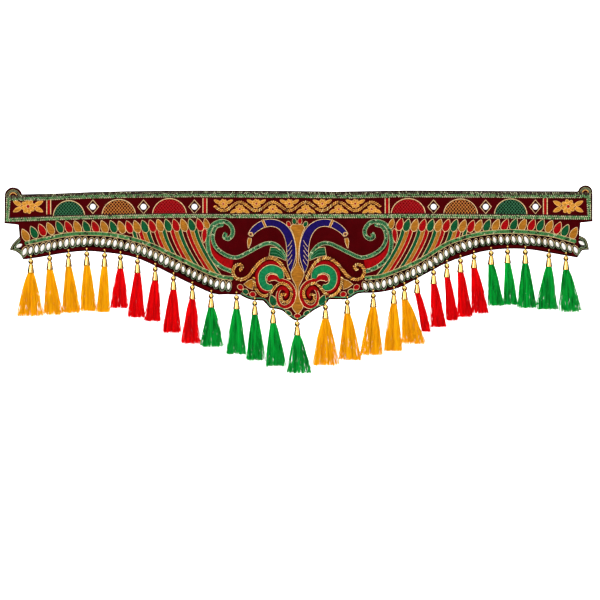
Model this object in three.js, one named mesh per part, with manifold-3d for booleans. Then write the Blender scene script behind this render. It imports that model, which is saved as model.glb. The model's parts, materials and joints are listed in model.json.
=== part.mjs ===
import * as THREE from 'three';
import { mergeVertices } from 'three/addons/utils/BufferGeometryUtils.js';
import Module from 'manifold-3d';

const wasm = await Module();
wasm.setup();

// A toran: an embroidered velvet hanging for the head of a doorway, with thirty silk tassels.
// All sizes are in millimetres. X runs along the hanging, +Z is up and the worked face looks along -Y.
// The origin is the middle of the top edge, on the back of the cloth, which lies in the plane y = 0.

const PANEL_THICKNESS = 3;
const SEWN_GAP = 0.35;
const FACE = -PANEL_THICKNESS - SEWN_GAP;

// Flat braid round the header strip and along the lower sweep.
const HEADER_BRAID = { inset: 2.2, side: 8.5, end: 7.8, thickness: 1.2 };
const LOWER_BRAID = { width: 5.4, thickness: 1.2 };

// Ribbon with a row of long stones, sewn below the lower braid.
const STONE_TRIM = { width: 12, thickness: 0.8, belowBraid: 13.6, endMargin: 5.5 };
const STONE = { width: 5.3, length: 11, rise: 2, table: 0.55, sides: 6, pitch: 10.9, lean: 12 };
const MIRROR = { radius: 5, thickness: 1, sides: 16 };

// How long the straight steps of a smooth line are, by how sharply it bends, and the sides of a tab's arc.
const STEP = { top: 60, header: 70, braid: 18, ribbon: 15, sweep: 12, lobe: 6, wing: 5 };
const TAB_SIDES = 10;
const MERGED_UNDER = 0.1;

// A ready-made tassel, measured down from the middle of its round bead.
const BEAD_RADIUS = 4.8;
const BEAD_BELOW_EDGE = BEAD_RADIUS + SEWN_GAP;
const CAP_RIM = { radius: 5.6, drop: 19.2 };
const METAL_SIDES = 7;
const SKIRT = { locks: 6, rootRadius: 4.6, rootDepth: 2, tipHalfDepth: 7, backGap: 1, gapAngle: 4 };
// A lock's inner side and the core, as shares of the skirt's radius, how far each tassel is turned from
// the last one in radians, and how uneven its hem is.
const LOCK = { inner: 0.46, coreRadius: 0.26, turn: 0.3, tipScatter: 4 };
const SCATTER = { tassel: 12.9898, lock: 78.233, gain: 43758.5453 };

const COLOURS = {
  velvet: 0x4a0710,
  braid: 0x2f8a55,
  ribbon: 0x1c3a2a,
  stone: 0xf4f2ea,
  mirror: 0xe6ecee,
  yellow: 0xffa008,
  red: 0xe1061b,
  green: 0x08963a,
};

// Turns short rows of numbers into objects with the named columns.
function table(columns, values) {
  const names = columns.split(' ');
  return values.map((row) => Object.fromEntries(names.map((name, i) => [name, row[i]])));
}

const TOP_EDGE = table('x z', [
  [-469.8, -5.5], [-405, -4.1], [-337, -1.2], [-269, 0], [-167, 1], [0, 0],
  [88, -1], [173, 1], [309, 0.3], [377, -0.5], [475.3, -0.5],
]);

// Half-round tabs at the top corners: centre, radius and the angles at which the arc starts and ends.
const TABS = {
  left: { x: -484.3, z: -8.5, radius: 14.8, start: 180, end: 12 },
  right: { x: 487.4, z: -2.6, radius: 12.3, start: 170, end: 0 },
};

// The outline below the tabs, one row of points for each smooth stretch. Stretches meet in corners.
const RIGHT_END = table('x z', [[499.8, -51.7], [479.2, -54.1], [477, -75.7]]);
const RIGHT_WING = table('x z', [[477, -75.7], [487.2, -80.6], [491.4, -89], [493.7, -100]]);
const RIGHT_WING_BACK = table('x z', [[493.7, -100], [486, -100.6], [478.7, -102], [473.6, -113.4]]);
const RIGHT_SWEEP = table('x z', [
  [473.6, -113.4], [431, -105.7], [394, -99.8], [356, -98.4], [315, -102.7], [281, -112.2], [254, -121.6],
  [220, -138.9], [193, -153.7], [166, -166.4], [135, -172.7], [111.5, -173.4],
]);
const RIGHT_SCALLOP = table('x z', [
  [111.5, -173.4], [99.6, -175.1], [84.3, -183.9], [70.7, -184.6], [52.5, -184.6],
]);
const RIGHT_LOBE = table('x z', [[52.5, -184.6], [45.2, -193.5], [34.3, -198.6], [24.8, -204]]);
const TIP = table('x z', [[24.8, -204], [9.5, -215.6], [-1.9, -221], [-12, -216.5], [-26.2, -204.3]]);
const LEFT_LOBE = table('x z', [
  [-26.2, -204.3], [-36, -200.9], [-48.3, -199.4], [-53.4, -193.8], [-60.2, -186.7],
]);
const LEFT_SCALLOP = table('x z', [[-60.2, -186.7], [-78.9, -185.6], [-90.1, -181.6], [-99.3, -176.5]]);
const LEFT_SWEEP = table('x z', [
  [-99.3, -176.5], [-126.5, -176], [-143.5, -175.3], [-174, -162.2], [-204.7, -147.4], [-238.7, -130.1],
  [-266, -117.5], [-293, -109.5], [-329, -104.6], [-364.5, -102.3], [-405, -106.8], [-439, -112.7],
  [-467.3, -116.8],
]);
const LEFT_WING_BACK = table('x z', [[-467.3, -116.8], [-472.4, -108], [-480, -103], [-490.5, -100]]);
const LEFT_WING = table('x z', [[-490.5, -100], [-485.5, -90.1], [-473.8, -78.2]]);
const LEFT_END = table('x z', [[-473.8, -78.2], [-475.5, -57.8], [-499.6, -54.9]]);

const LEFT_BRAID = table('x z', [
  [-463, -89], [-429, -81.6], [-390, -74], [-350, -72.5], [-306, -76.5], [-254, -90.5],
  [-210, -111], [-157, -136.5], [-131, -146], [-112, -148.5],
]);
const RIGHT_BRAID = table('x z', [
  [470, -86], [438, -76.8], [412, -72.4], [377, -69.2], [354, -69], [327, -70.4], [302, -74.3],
  [276, -80.8], [249, -91.5], [218, -111.4], [191, -125.6], [166, -136], [140, -145.2], [114, -148.4],
]);
const HEADER_FOOT = table('x z', [
  [-497.5, -53.2], [-371, -49], [-235, -46.4], [0, -46.8], [241, -46.6], [377, -48.1], [497.6, -49.6],
]);

const MIRRORS = { z: -27, x: [-349, -263, -176.5, 229.5, 318, 402.5] };
const WING_STONES = table('side x z turn', [['left', -474.2, -93.2, 80], ['right', 481, -88.6, -62]]);

// Each tassel's hanging place, the left and right ends of its silk hem, and the height of the hem.
const TASSEL_COLOURS = ['yellow', 'red', 'green', 'yellow', 'red', 'green'];
const TASSELS_OF_A_COLOUR = 5;
const TASSELS = table('x left right hem', [
  [-454, -477, -433, -212], [-422, -431, -401, -209], [-390, -399, -371, -206], [-359, -369, -344, -203],
  [-329, -342, -320, -205], [-302, -318, -289, -200], [-273, -287.5, -262, -214], [-243, -260, -233, -220],
  [-212, -231, -200, -240], [-180, -197.5, -167, -258], [-148, -165, -127, -266], [-105, -123, -89.5, -277],
  [-74, -87.5, -56.5, -287], [-43, -55, -22, -297], [-2, -20, 21, -309], [46, 23, 68.5, -296],
  [83, 70, 105, -287], [127, 106.5, 142.5, -278], [162, 144, 176, -271], [180, 177.5, 214, -259],
  [201.5, 210, 224, -239], [229.5, 225.5, 250, -230], [252, 251.5, 270.5, -219], [275, 272, 293.5, -213],
  [298, 295, 321, -207], [327, 322.5, 348, -195], [355, 349.5, 371, -192], [385, 372.5, 402, -198],
  [425, 403.5, 439.5, -201], [454, 441.5, 480, -204],
]);

// How the silk widens from the cap's rim to the hem.
const SKIRT_SECTIONS = table('drop spread', [[0, 0], [0.14, 0.2], [1, 1]]);

// The metal of a tassel, from the top of its small bead to the cap's rim: radius and height.
const METAL_PROFILE = table('radius height', [
  [0, 10.8], [2.2, 8.7], [0.8, 6.6], [0.8, 4.9], [3.5, 3.3], [BEAD_RADIUS, 0], [3.5, -3.3], [2.4, -4.6],
  [3.4, -6], [4.2, -13], [CAP_RIM.radius, -CAP_RIM.drop], [0, -CAP_RIM.drop],
]);

const toVector = (point) => new THREE.Vector2(point.x, point.z);

// Points of a smooth line through a row of points, about one for each step of its length.
function smooth(points, step) {
  const curve = new THREE.SplineCurve(points.map(toVector));
  return curve.getSpacedPoints(Math.max(2, Math.round(curve.getLength() / step)));
}

function arc(tab) {
  return Array.from({ length: TAB_SIDES + 1 }, (_, i) => {
    const angle = THREE.MathUtils.degToRad(THREE.MathUtils.lerp(tab.start, tab.end, i / TAB_SIDES));
    return new THREE.Vector2(tab.x + tab.radius * Math.cos(angle), tab.z + tab.radius * Math.sin(angle));
  });
}

// A plate of an outline, from its back plane towards the viewer.
function plate(shape, back, thickness) {
  const geometry = new THREE.ExtrudeGeometry(shape, { depth: thickness, bevelEnabled: false });
  geometry.rotateX(Math.PI / 2);
  geometry.translate(0, back, 0);
  return geometry;
}

// The closed solid of a geometry, with its shared corners merged and its empty triangles dropped.
function solid(geometry) {
  const bare = new THREE.BufferGeometry();
  bare.setAttribute('position', geometry.getAttribute('position'));
  bare.setIndex(geometry.getIndex());
  const merged = mergeVertices(bare);
  const corners = merged.getIndex().array;
  const kept = [];
  for (let i = 0; i < corners.length; i += 3) {
    const [a, b, c] = corners.slice(i, i + 3);
    if (a !== b && b !== c && c !== a) kept.push(a, b, c);
  }
  return new wasm.Manifold(new wasm.Mesh({
    numProp: 3,
    vertProperties: new Float32Array(merged.getAttribute('position').array),
    triVerts: new Uint32Array(kept),
  }));
}

function joined(geometries) {
  const whole = geometries.map(solid).reduce((sum, piece) => sum.add(piece));
  const mesh = whole.getMesh();
  const geometry = new THREE.BufferGeometry();
  geometry.setAttribute('position', new THREE.BufferAttribute(mesh.vertProperties, 3));
  geometry.setIndex(new THREE.BufferAttribute(mesh.triVerts, 1));
  geometry.computeVertexNormals();
  return geometry;
}

// A closed skin over rings of corners, with a flat cap at each end.
function loft(rings) {
  const size = rings[0].length;
  const corners = [];
  for (let ring = 0; ring + 1 < rings.length; ring += 1) {
    for (let i = 0; i < size; i += 1) {
      const a = ring * size + i;
      const b = ring * size + ((i + 1) % size);
      corners.push(a, b, b + size, a, b + size, a + size);
    }
  }
  const last = (rings.length - 1) * size;
  for (let i = 1; i + 1 < size; i += 1) {
    corners.push(0, i + 1, i, last, last + i, last + i + 1);
  }
  const geometry = new THREE.BufferGeometry();
  const places = rings.flat().flatMap((point) => point.toArray());
  geometry.setAttribute('position', new THREE.Float32BufferAttribute(places, 3));
  geometry.setIndex(corners);
  return geometry;
}

// The strip that lies half its width to each side of a line.
function ribbon(line, width) {
  const sides = [1, -1].map((side) => line.map((point, i) => {
    const before = line[Math.max(i - 1, 0)];
    const after = line[Math.min(i + 1, line.length - 1)];
    const along = after.clone().sub(before).normalize();
    return new THREE.Vector2(point.x - (along.y * side * width) / 2, point.y + (along.x * side * width) / 2);
  }));
  return new THREE.Shape([...sides[0], ...sides[1].reverse()]);
}

// The line that runs a distance below another one, measured square to it.
function below(line, distance) {
  return line.map((point, i) => {
    const before = line[Math.max(i - 1, 0)];
    const after = line[Math.min(i + 1, line.length - 1)];
    const along = after.clone().sub(before).normalize();
    const side = Math.sign(along.x) * distance;
    return new THREE.Vector2(point.x + along.y * side, point.y - along.x * side);
  });
}

// The panel's lower edge, from its right corner through the tip to its left corner.
const lowerEdge = [
  ...smooth(RIGHT_SWEEP, STEP.sweep),
  ...[RIGHT_SCALLOP, RIGHT_LOBE, TIP, LEFT_LOBE, LEFT_SCALLOP].flatMap((points) => smooth(points, STEP.lobe)),
  ...smooth(LEFT_SWEEP, STEP.sweep),
];

// The height of the panel's lower edge at a place along the hanging.
function edgeHeight(x) {
  for (let i = 0; i + 1 < lowerEdge.length; i += 1) {
    const [right, left] = [lowerEdge[i], lowerEdge[i + 1]];
    if (x <= right.x && x >= left.x && right.x > left.x) {
      return THREE.MathUtils.mapLinear(x, left.x, right.x, left.y, right.y);
    }
  }
  throw new Error(`no lower edge at x = ${x}`);
}

function panelGeometry() {
  const outline = [
    ...arc(TABS.left),
    ...smooth(TOP_EDGE, STEP.top),
    ...arc(TABS.right),
    ...RIGHT_END.map(toVector),
    ...smooth(RIGHT_WING, STEP.wing),
    ...smooth(RIGHT_WING_BACK, STEP.wing),
    ...lowerEdge,
    ...smooth(LEFT_WING_BACK, STEP.wing),
    ...smooth(LEFT_WING, STEP.wing),
    ...LEFT_END.map(toVector),
  ];
  const next = (i) => outline[(i + 1) % outline.length];
  const apart = outline.filter((point, i) => point.distanceTo(next(i)) > MERGED_UNDER);
  return plate(new THREE.Shape(apart), 0, PANEL_THICKNESS);
}

function headerBraidGeometry() {
  const [left, right] = [HEADER_FOOT[0].x, HEADER_FOOT[HEADER_FOOT.length - 1].x];
  const ends = { from: TOP_EDGE[0].x, to: TOP_EDGE[TOP_EDGE.length - 1].x };
  const head = TOP_EDGE.map((point) => ({
    x: THREE.MathUtils.mapLinear(point.x, ends.from, ends.to, left, right),
    z: point.z - HEADER_BRAID.inset,
  }));
  const drawn = (points, inwards, lift) => smooth(points.map((point) => ({
    x: THREE.MathUtils.mapLinear(point.x, left, right, left + inwards, right - inwards),
    z: point.z + lift,
  })), STEP.header);
  const outer = [...drawn(head, 0, 0), ...drawn(HEADER_FOOT, 0, 0).reverse()];
  const inner = [
    ...drawn(HEADER_FOOT, HEADER_BRAID.end, HEADER_BRAID.side),
    ...drawn(head, HEADER_BRAID.end, -HEADER_BRAID.side).reverse(),
  ];
  const shape = new THREE.Shape(outer);
  shape.holes.push(new THREE.Path(inner));
  return plate(shape, FACE, HEADER_BRAID.thickness);
}

// A cut stone: a tapered hexagonal prism with two of its corners on its long axis, its table towards
// the viewer. A hexagon one unit long is less than one unit wide across its flats.
function stoneGeometry(x, z, back, turn) {
  const acrossFlats = Math.cos(Math.PI / STONE.sides);
  const geometry = new THREE.CylinderGeometry(STONE.table / 2, 1 / 2, STONE.rise, STONE.sides);
  geometry.scale(STONE.width / acrossFlats, 1, STONE.length);
  geometry.rotateX(Math.PI);
  geometry.rotateY(THREE.MathUtils.degToRad(turn));
  geometry.translate(x, back - STONE.rise / 2, z);
  return geometry;
}

// The ribbon below a run of braid, with its stones.
function stoneTrimGeometry(braid) {
  const side = Math.sign(braid[0].x);
  const line = below(smooth(braid, STEP.ribbon), STONE_TRIM.belowBraid);
  const curve = new THREE.SplineCurve(line);
  const margin = STONE_TRIM.endMargin / curve.getLength();
  const gaps = Math.round((curve.getLength() * (1 - 2 * margin)) / STONE.pitch);
  const pieces = [plate(ribbon(line, STONE_TRIM.width), FACE, STONE_TRIM.thickness)];
  for (let i = 0; i <= gaps; i += 1) {
    const place = curve.getPointAt(THREE.MathUtils.lerp(margin, 1 - margin, i / gaps));
    pieces.push(stoneGeometry(place.x, place.y, FACE - STONE_TRIM.thickness / 2, -side * STONE.lean));
  }
  return joined(pieces);
}

function mirrorGeometry(x) {
  const geometry = new THREE.CylinderGeometry(MIRROR.radius, MIRROR.radius, MIRROR.thickness, MIRROR.sides);
  geometry.translate(x, FACE - MIRROR.thickness / 2, MIRRORS.z);
  return geometry;
}

// A number from 0 to 1 that is always the same for the same lock, so that the hem is uneven.
function scatter(tassel, lock) {
  const wave = Math.sin(tassel * SCATTER.tassel + lock * SCATTER.lock) * SCATTER.gain;
  return wave - Math.floor(wave);
}

// One lock of silk between two directions round the tassel's axis, from inside the cap to the hem.
function lockGeometry(row, rim, corners, hem) {
  const rings = SKIRT_SECTIONS.map(({ drop, spread }) => {
    const left = THREE.MathUtils.lerp(row.x - SKIRT.rootRadius, row.left, spread);
    const right = THREE.MathUtils.lerp(row.x + SKIRT.rootRadius, row.right, spread);
    const depth = THREE.MathUtils.lerp(SKIRT.rootRadius, SKIRT.tipHalfDepth, spread);
    const z = drop === 0 ? rim + SKIRT.rootDepth : THREE.MathUtils.lerp(rim, hem, drop);
    return corners.map(({ angle, reach }) => new THREE.Vector3(
      (left + right) / 2 + (reach * Math.cos(angle) * (right - left)) / 2,
      -(depth + SKIRT.backGap) + reach * Math.sin(angle) * depth,
      z,
    ));
  });
  return loft(rings);
}

// Small bead, link, round bead and bell cap as one turned piece, with the silk's locks rooted in the cap.
function tasselGeometry(row, number) {
  const bead = edgeHeight(row.x) - BEAD_BELOW_EDGE;
  const rim = bead - CAP_RIM.drop;
  const profile = METAL_PROFILE.map(({ radius, height }) => new THREE.Vector2(radius, height)).reverse();
  const metal = new THREE.LatheGeometry(profile, METAL_SIDES);
  metal.rotateX(Math.PI / 2);
  metal.translate(row.x, -(SKIRT.rootRadius + SKIRT.backGap), bead);

  const step = (2 * Math.PI) / SKIRT.locks;
  const gap = THREE.MathUtils.degToRad(SKIRT.gapAngle);
  const pieces = [metal];
  for (let lock = 0; lock < SKIRT.locks; lock += 1) {
    const start = lock * step + gap + LOCK.turn * number;
    const end = start + step - 2 * gap;
    const hem = row.hem + LOCK.tipScatter * scatter(number, lock);
    pieces.push(lockGeometry(row, rim, [
      { angle: end, reach: LOCK.inner },
      { angle: end, reach: 1 },
      { angle: start, reach: 1 },
      { angle: start, reach: LOCK.inner },
    ], hem));
  }
  const core = [3, 2, 1, 0].map((corner) => ({ angle: (corner * Math.PI) / 2, reach: LOCK.coreRadius }));
  pieces.push(lockGeometry(row, rim, core, row.hem + LOCK.tipScatter));
  return joined(pieces);
}

const materials = {
  velvet: new THREE.MeshStandardMaterial({ color: COLOURS.velvet, roughness: 0.95 }),
  braid: new THREE.MeshStandardMaterial({ color: COLOURS.braid, roughness: 0.5, metalness: 0.3 }),
  ribbon: new THREE.MeshStandardMaterial({ color: COLOURS.ribbon, roughness: 0.6 }),
  stone: new THREE.MeshStandardMaterial({ color: COLOURS.stone, roughness: 0.15 }),
  mirror: new THREE.MeshStandardMaterial({ color: COLOURS.mirror, roughness: 0.05, metalness: 1 }),
  yellow: new THREE.MeshStandardMaterial({ color: COLOURS.yellow, roughness: 0.6 }),
  red: new THREE.MeshStandardMaterial({ color: COLOURS.red, roughness: 0.6 }),
  green: new THREE.MeshStandardMaterial({ color: COLOURS.green, roughness: 0.6 }),
};

const group = new THREE.Group();

function add(name, geometry, material) {
  const mesh = new THREE.Mesh(geometry, material);
  mesh.name = name;
  group.add(mesh);
}

add('panel', panelGeometry(), materials.velvet);
add('header_braid', headerBraidGeometry(), materials.braid);
Object.entries({ left: LEFT_BRAID, right: RIGHT_BRAID }).forEach(([side, braid]) => {
  const strip = ribbon(smooth(braid, STEP.braid), LOWER_BRAID.width);
  add(`lower_braid_${side}`, plate(strip, FACE, LOWER_BRAID.thickness), materials.braid);
  add(`stone_trim_${side}`, stoneTrimGeometry(braid), materials.ribbon);
});
WING_STONES.forEach(({ side, x, z, turn }) => {
  add(`wing_stone_${side}`, stoneGeometry(x, z, FACE, turn), materials.stone);
});
MIRRORS.x.forEach((x, i) => add(`mirror_${i + 1}`, mirrorGeometry(x), materials.mirror));
TASSELS.forEach((row, i) => {
  const colour = TASSEL_COLOURS[Math.floor(i / TASSELS_OF_A_COLOUR)];
  const name = `tassel_${String(i + 1).padStart(2, '0')}`;
  add(name, tasselGeometry(row, i + 1), materials[colour]);
});

export default group;
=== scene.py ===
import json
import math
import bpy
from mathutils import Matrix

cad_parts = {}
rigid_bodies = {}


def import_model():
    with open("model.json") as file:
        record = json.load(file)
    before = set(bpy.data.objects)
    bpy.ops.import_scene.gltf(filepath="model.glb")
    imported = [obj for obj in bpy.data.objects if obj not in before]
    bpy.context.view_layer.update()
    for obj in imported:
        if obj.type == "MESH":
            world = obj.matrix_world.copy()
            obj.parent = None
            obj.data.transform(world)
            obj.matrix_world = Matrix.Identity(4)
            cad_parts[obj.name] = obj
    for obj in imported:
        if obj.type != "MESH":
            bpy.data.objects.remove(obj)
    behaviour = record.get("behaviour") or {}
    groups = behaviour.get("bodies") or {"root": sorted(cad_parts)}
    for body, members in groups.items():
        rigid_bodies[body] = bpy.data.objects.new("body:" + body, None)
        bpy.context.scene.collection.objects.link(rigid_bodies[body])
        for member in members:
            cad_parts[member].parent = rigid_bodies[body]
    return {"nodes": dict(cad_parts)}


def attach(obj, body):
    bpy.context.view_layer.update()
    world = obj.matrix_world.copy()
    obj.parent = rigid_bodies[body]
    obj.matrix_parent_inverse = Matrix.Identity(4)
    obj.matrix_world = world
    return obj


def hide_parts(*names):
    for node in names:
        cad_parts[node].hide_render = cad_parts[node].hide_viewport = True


bl_info = {
    "name": "Toran door hanging",
    "version": (1, 0, 0),
    "blender": (4, 5, 0),
    "location": "View3D > Sidebar > Toran",
    "description": "Velvet, embroidery, stones and silk tassels of a door hanging",
    "category": "Object",
}

import bmesh
import bpy
import numpy as np
from mathutils import Matrix, Vector

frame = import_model()

# Tables and drawings are in millimetres, x along the hanging and z up. Meshes are in metres.
MM = 0.001
# Corners of a mesh nearer than this are one, in metres.
SAME_SPOT = 1e-5

# The pattern's middle along the hanging, and how far each face stands off the back of the cloth.
AXIS = -1.5
CLOTH_FACE = 3.0
SEWN_FACE = 3.35
BRAID_THICKNESS = 1.2
RIBBON_THICKNESS = 0.8
EDGE_ROUNDING = 0.6

TOP_EDGE = [
    (-469.8, -5.5), (-405, -4.1), (-337, -1.2), (-269, 0), (-167, 1), (0, 0), (88, -1), (173, 1),
    (309, 0.3), (377, -0.5), (475.3, -0.5),
]
HEADER_FOOT = [
    (-497.5, -53.2), (-371, -49), (-235, -46.4), (0, -46.8), (241, -46.6), (377, -48.1), (497.6, -49.6),
]
HEADER_BRAID = {"inset": 2.2, "side": 8.5, "end": 7.8}
LOWER_BRAIDS = {
    "left": [
        (-463, -89), (-429, -81.6), (-390, -74), (-350, -72.5), (-306, -76.5), (-254, -90.5), (-210, -111),
        (-157, -136.5), (-131, -146), (-112, -148.5),
    ],
    "right": [
        (470, -86), (438, -76.8), (412, -72.4), (377, -69.2), (354, -69), (327, -70.4), (302, -74.3),
        (276, -80.8), (249, -91.5), (218, -111.4), (191, -125.6), (166, -136), (140, -145.2), (114, -148.4),
    ],
}
LOWER_BRAID_WIDTH = 5.4
STONE = {"width": 5.3, "length": 11.0, "rise": 2.0, "pitch": 10.9, "lean": 12.0, "below": 13.6, "margin": 5.5}
RIBBON_WIDTH = 19.0
STONES_IN_TRIM = 36
WING_STONES = {"left": (-474.2, -93.2, -64.0), "right": (481.0, -88.6, 58.0)}
TABS = {"left": (-484.3, -8.5, 14.8), "right": (487.4, -2.6, 12.3)}
WINGS = {
    "left": [
        (-473.8, -78.2), (-485.5, -90.1), (-490.5, -100), (-480, -103), (-472.4, -108), (-467.3, -116.8),
    ],
    "right": [(477, -75.7), (487.2, -80.6), (491.4, -89), (493.7, -100), (482, -101.2), (473.6, -113.4)],
}
LOWER_EDGE = [
    (-99.3, -176.5), (-90.1, -181.6), (-78.9, -185.6), (-60.2, -186.7), (-53.4, -193.8), (-48.3, -199.4),
    (-36, -200.9), (-26.2, -204.3), (-12, -216.5), (-1.9, -221), (9.5, -215.6), (24.8, -204),
    (34.3, -198.6), (45.2, -193.5), (52.5, -184.6), (70.7, -184.6), (84.3, -183.9), (99.6, -175.1),
    (111.5, -173.4),
]
# Middle, half width, foot, top and colour of the header's domes.
DOMES = (
    (-389.6, 26.8, -44.5, -16.5, "green"), (-305, 28.5, -41.5, -14.5, "gold"), (-219, 29, -41.2, -13, "red"),
    (186.5, 29, -39.8, -13, "red"), (275.5, 28.7, -40, -13.6, "gold"), (360.5, 27.6, -40.8, -13.6, "green"),
)
# The header's other work: mirrors in diamonds, the domes' lattice, red bars between rails, the gold wave and
# the blossoms at both ends.
MIRROR = {"z": -27.0, "x": (-349, -263, -176.5, 229.5, 318, 402.5), "high": 11.8, "wide": 9.8}
LATTICE = {"reach": 62, "pitch": 6.2, "slope": 1.17}
BARS = {"x": (-424, -158.8, 150.6, 419.2), "z": (-12.5, -26, -40), "width": 4.6, "rail": 3.3}
HEADER_MIDDLE = -26.5
WAVE = {"from": -141.5, "to": 140, "start": -1.5, "length": 56, "height": 7.4}
END_BLOSSOMS = (-459, 458)

# Threads of the petals from an end of the hanging inwards, by letter. Then a petal's number, its distance
# from the middle and its height, for the petals between which the others are spaced evenly.
PETAL_THREADS = {"g": "thread_gold", "n": "thread_green", "r": "thread_red"}
PETAL_COLOURS = "gnrgnrgnrgngrgnrgnrgnrg"
PETALS = {
    "left": [
        (0, 462.3, -75), (1, 448, -70.2), (2, 434, -66.3), (3, 420, -63.9), (4, 404.5, -61.2),
        (10, 313.4, -60.7), (11, 299.3, -61.7), (14, 260, -60.3), (16, 234, -58.6), (21, 166.5, -57.5),
        (22, 154.8, -55.4),
    ],
    "right": [
        (0, 469.2, -71.7), (1, 454.9, -67), (2, 441.9, -62.9), (3, 427.8, -60.2), (4, 413, -58.1),
        (7, 367.7, -57), (10, 322.1, -58.6), (11, 307.7, -59.4), (12, 295, -60), (14, 266.8, -58.4),
        (20, 185.8, -58.1), (21, 173.9, -56.6), (22, 159.8, -55.6),
    ],
}

# Feathers: how far out the first group starts, the step to the next, and a stripe's lean and sweep inwards.
FEATHERS = {"first": 270.7, "pitch": 27.2, "top": -66.0, "longest": 90.0, "lean": 0.1, "sweep": 0.0476}
FEATHER_STRIPES = (("thread_red", 0.0, 6.8), ("thread_gold", 6.8, 13.2), ("thread_green", 13.2, 20.0))

TASSEL_COLOURS = ("yellow", "red", "green", "yellow", "red", "green")
TASSELS_OF_A_COLOUR = 5
BEAD_TOP = 10.8
CAP_DROP = 19.2
# The silk starts inside its cap. Its radius there, half its depth at the hem, how far the hem comes forward
# and how unevenly it is cut are in metres.
SILK_START = 1.2
SILK = {"Root radius": 0.0047, "Hem half depth": 0.0066, "Forward": 0.0024, "Scatter": 0.0026}

# Radius and height of a tassel's metal round its axis, from its small bead to its cap's rim.
METAL_PROFILE = [
    (0, 10.8), (1.1, 10.6), (1.9, 9.8), (2.2, 8.7), (1.9, 7.6), (1.0, 6.8), (0.7, 6.3), (0.7, 5.2),
    (1.2, 4.65), (2.6, 4.05), (3.9, 2.8), (4.6, 1.3), (4.8, 0), (4.6, -1.3), (3.9, -2.8), (2.6, -4.05),
    (2.3, -4.3), (3.3, -4.6), (3.9, -5.2), (4.05, -6.0), (5.85, -17.9), (6.05, -18.5), (6.05, -19.2),
    (5.2, -19.2), (0, -18.2),
]

# How a filling is rounded across its width: place from one side to the other, and share of its rise.
FILL_SECTION = [(0, 0), (0, 0.4), (0.2, 0.86), (0.5, 1), (0.8, 0.86), (1, 0.4), (1, 0)]
PAD_SECTION = [(1, 0), (1, 0.4), (0.8, 0.84), (0.45, 0.98)]

# The stage, in metres: a wide floor, a curved backdrop behind, and the camera at the photo's viewing angle.
FLOOR = {"reach": 30.0, "height": -1.4}
BACKDROP = {"radius": 3.4, "top": 3.0, "turns": range(-100, 101, 8)}
CAMERA = {"place": (0.0027, -3.0, -0.1853), "distance": 3.0, "frame": 1.02, "sensor": 36}
# Each light's place, what it is aimed at, its size and its power.
LIGHTS = {
    "key light": ((-1.3, -2.2, 1.4), (0, 0, -0.15), 1.2, 33),
    "fill light": ((1.9, -2.4, 0.5), (0, 0, -0.15), 1.5, 14.5),
    "low light": ((0.15, -2.5, -1.2), (0, 0, -0.15), 0.7, 19),
    "top light": ((0.0, -0.6, 2.2), (0, 0.6, -0.1), 2.4, 29),
    "backdrop light": ((0.0, 1.4, 2.7), (0, 3.4, -0.2), 2.4, 225),
}
# How bright the studio is towards the sides, the front and above: from, to, and its strength at both.
GLOW = {"X": (0.5, 0.95, 0.84, 0.14), "Y": (-0.2, 0.05, 1.0, 0.05), "Z": (-0.1, 0.12, 0.12, 1.0)}

# What every setting of a length and of a colour has in common.
LENGTH = {"unit": "LENGTH", "subtype": "DISTANCE"}
COLOUR = {"subtype": "COLOR", "min": 0, "max": 1}


class ToranSettings(bpy.types.PropertyGroup):
    """Sizes and colours of the hanging's show pieces."""

    cord_width: bpy.props.FloatProperty(
        name="Cord width", description="Thickness of the outlining cord",
        default=0.0011, min=0.0004, max=0.003, **LENGTH)
    rope_width: bpy.props.FloatProperty(
        name="Rope width", description="Thickness of the gold rope in the middle",
        default=0.0070, min=0.002, max=0.009, **LENGTH)
    satin_rise: bpy.props.FloatProperty(
        name="Satin rise", description="How far a padded filling stands off the cloth",
        default=0.0012, min=0.0004, max=0.003, **LENGTH)
    stitch_pitch: bpy.props.FloatProperty(
        name="Stitch pitch", description="Distance from one braid stitch to the next",
        default=0.0031, min=0.0015, max=0.006, **LENGTH)
    strands: bpy.props.IntProperty(
        name="Strands", description="Silk strands in each tassel", default=300, min=40, max=400)
    strand_width: bpy.props.FloatProperty(
        name="Strand width", description="Thickness of one silk strand",
        default=0.00062, min=0.0003, max=0.0012, **LENGTH)
    velvet: bpy.props.FloatVectorProperty(
        name="Velvet", description="Colour of the velvet", default=(0.061, 0.0002, 0.0013), **COLOUR)
    braid: bpy.props.FloatVectorProperty(
        name="Braid", description="Colour of the metallic braid", default=(0.15, 0.41, 0.14), **COLOUR)
    gold: bpy.props.FloatVectorProperty(
        name="Gold thread", description="Colour of the gold fillings", default=(0.35, 0.13, 0.012), **COLOUR)
    cord: bpy.props.FloatVectorProperty(
        name="Cord", description="Colour of the outlining cord", default=(0.82, 0.56, 0.27), **COLOUR)
    red: bpy.props.FloatVectorProperty(
        name="Red thread", description="Colour of the red fillings", default=(0.29, 0.0006, 0.002), **COLOUR)
    green: bpy.props.FloatVectorProperty(
        name="Green thread", description="Colour of the green fillings",
        default=(0.003, 0.07, 0.021), **COLOUR)
    blue: bpy.props.FloatVectorProperty(
        name="Blue thread", description="Colour of the birds' necks", default=(0.008, 0.003, 0.08), **COLOUR)
    brass: bpy.props.FloatVectorProperty(
        name="Brass", description="Colour of beads and bell caps", default=(0.84, 0.53, 0.16), **COLOUR)
    silk_yellow: bpy.props.FloatVectorProperty(
        name="Yellow silk", description="Colour of the yellow tassels", default=(1.0, 0.39, 0.002), **COLOUR)
    silk_red: bpy.props.FloatVectorProperty(
        name="Red silk", description="Colour of the red tassels", default=(0.74, 0.0004, 0.002), **COLOUR)
    silk_green: bpy.props.FloatVectorProperty(
        name="Green silk", description="Colour of the green tassels", default=(0.002, 0.35, 0.036), **COLOUR)


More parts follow.
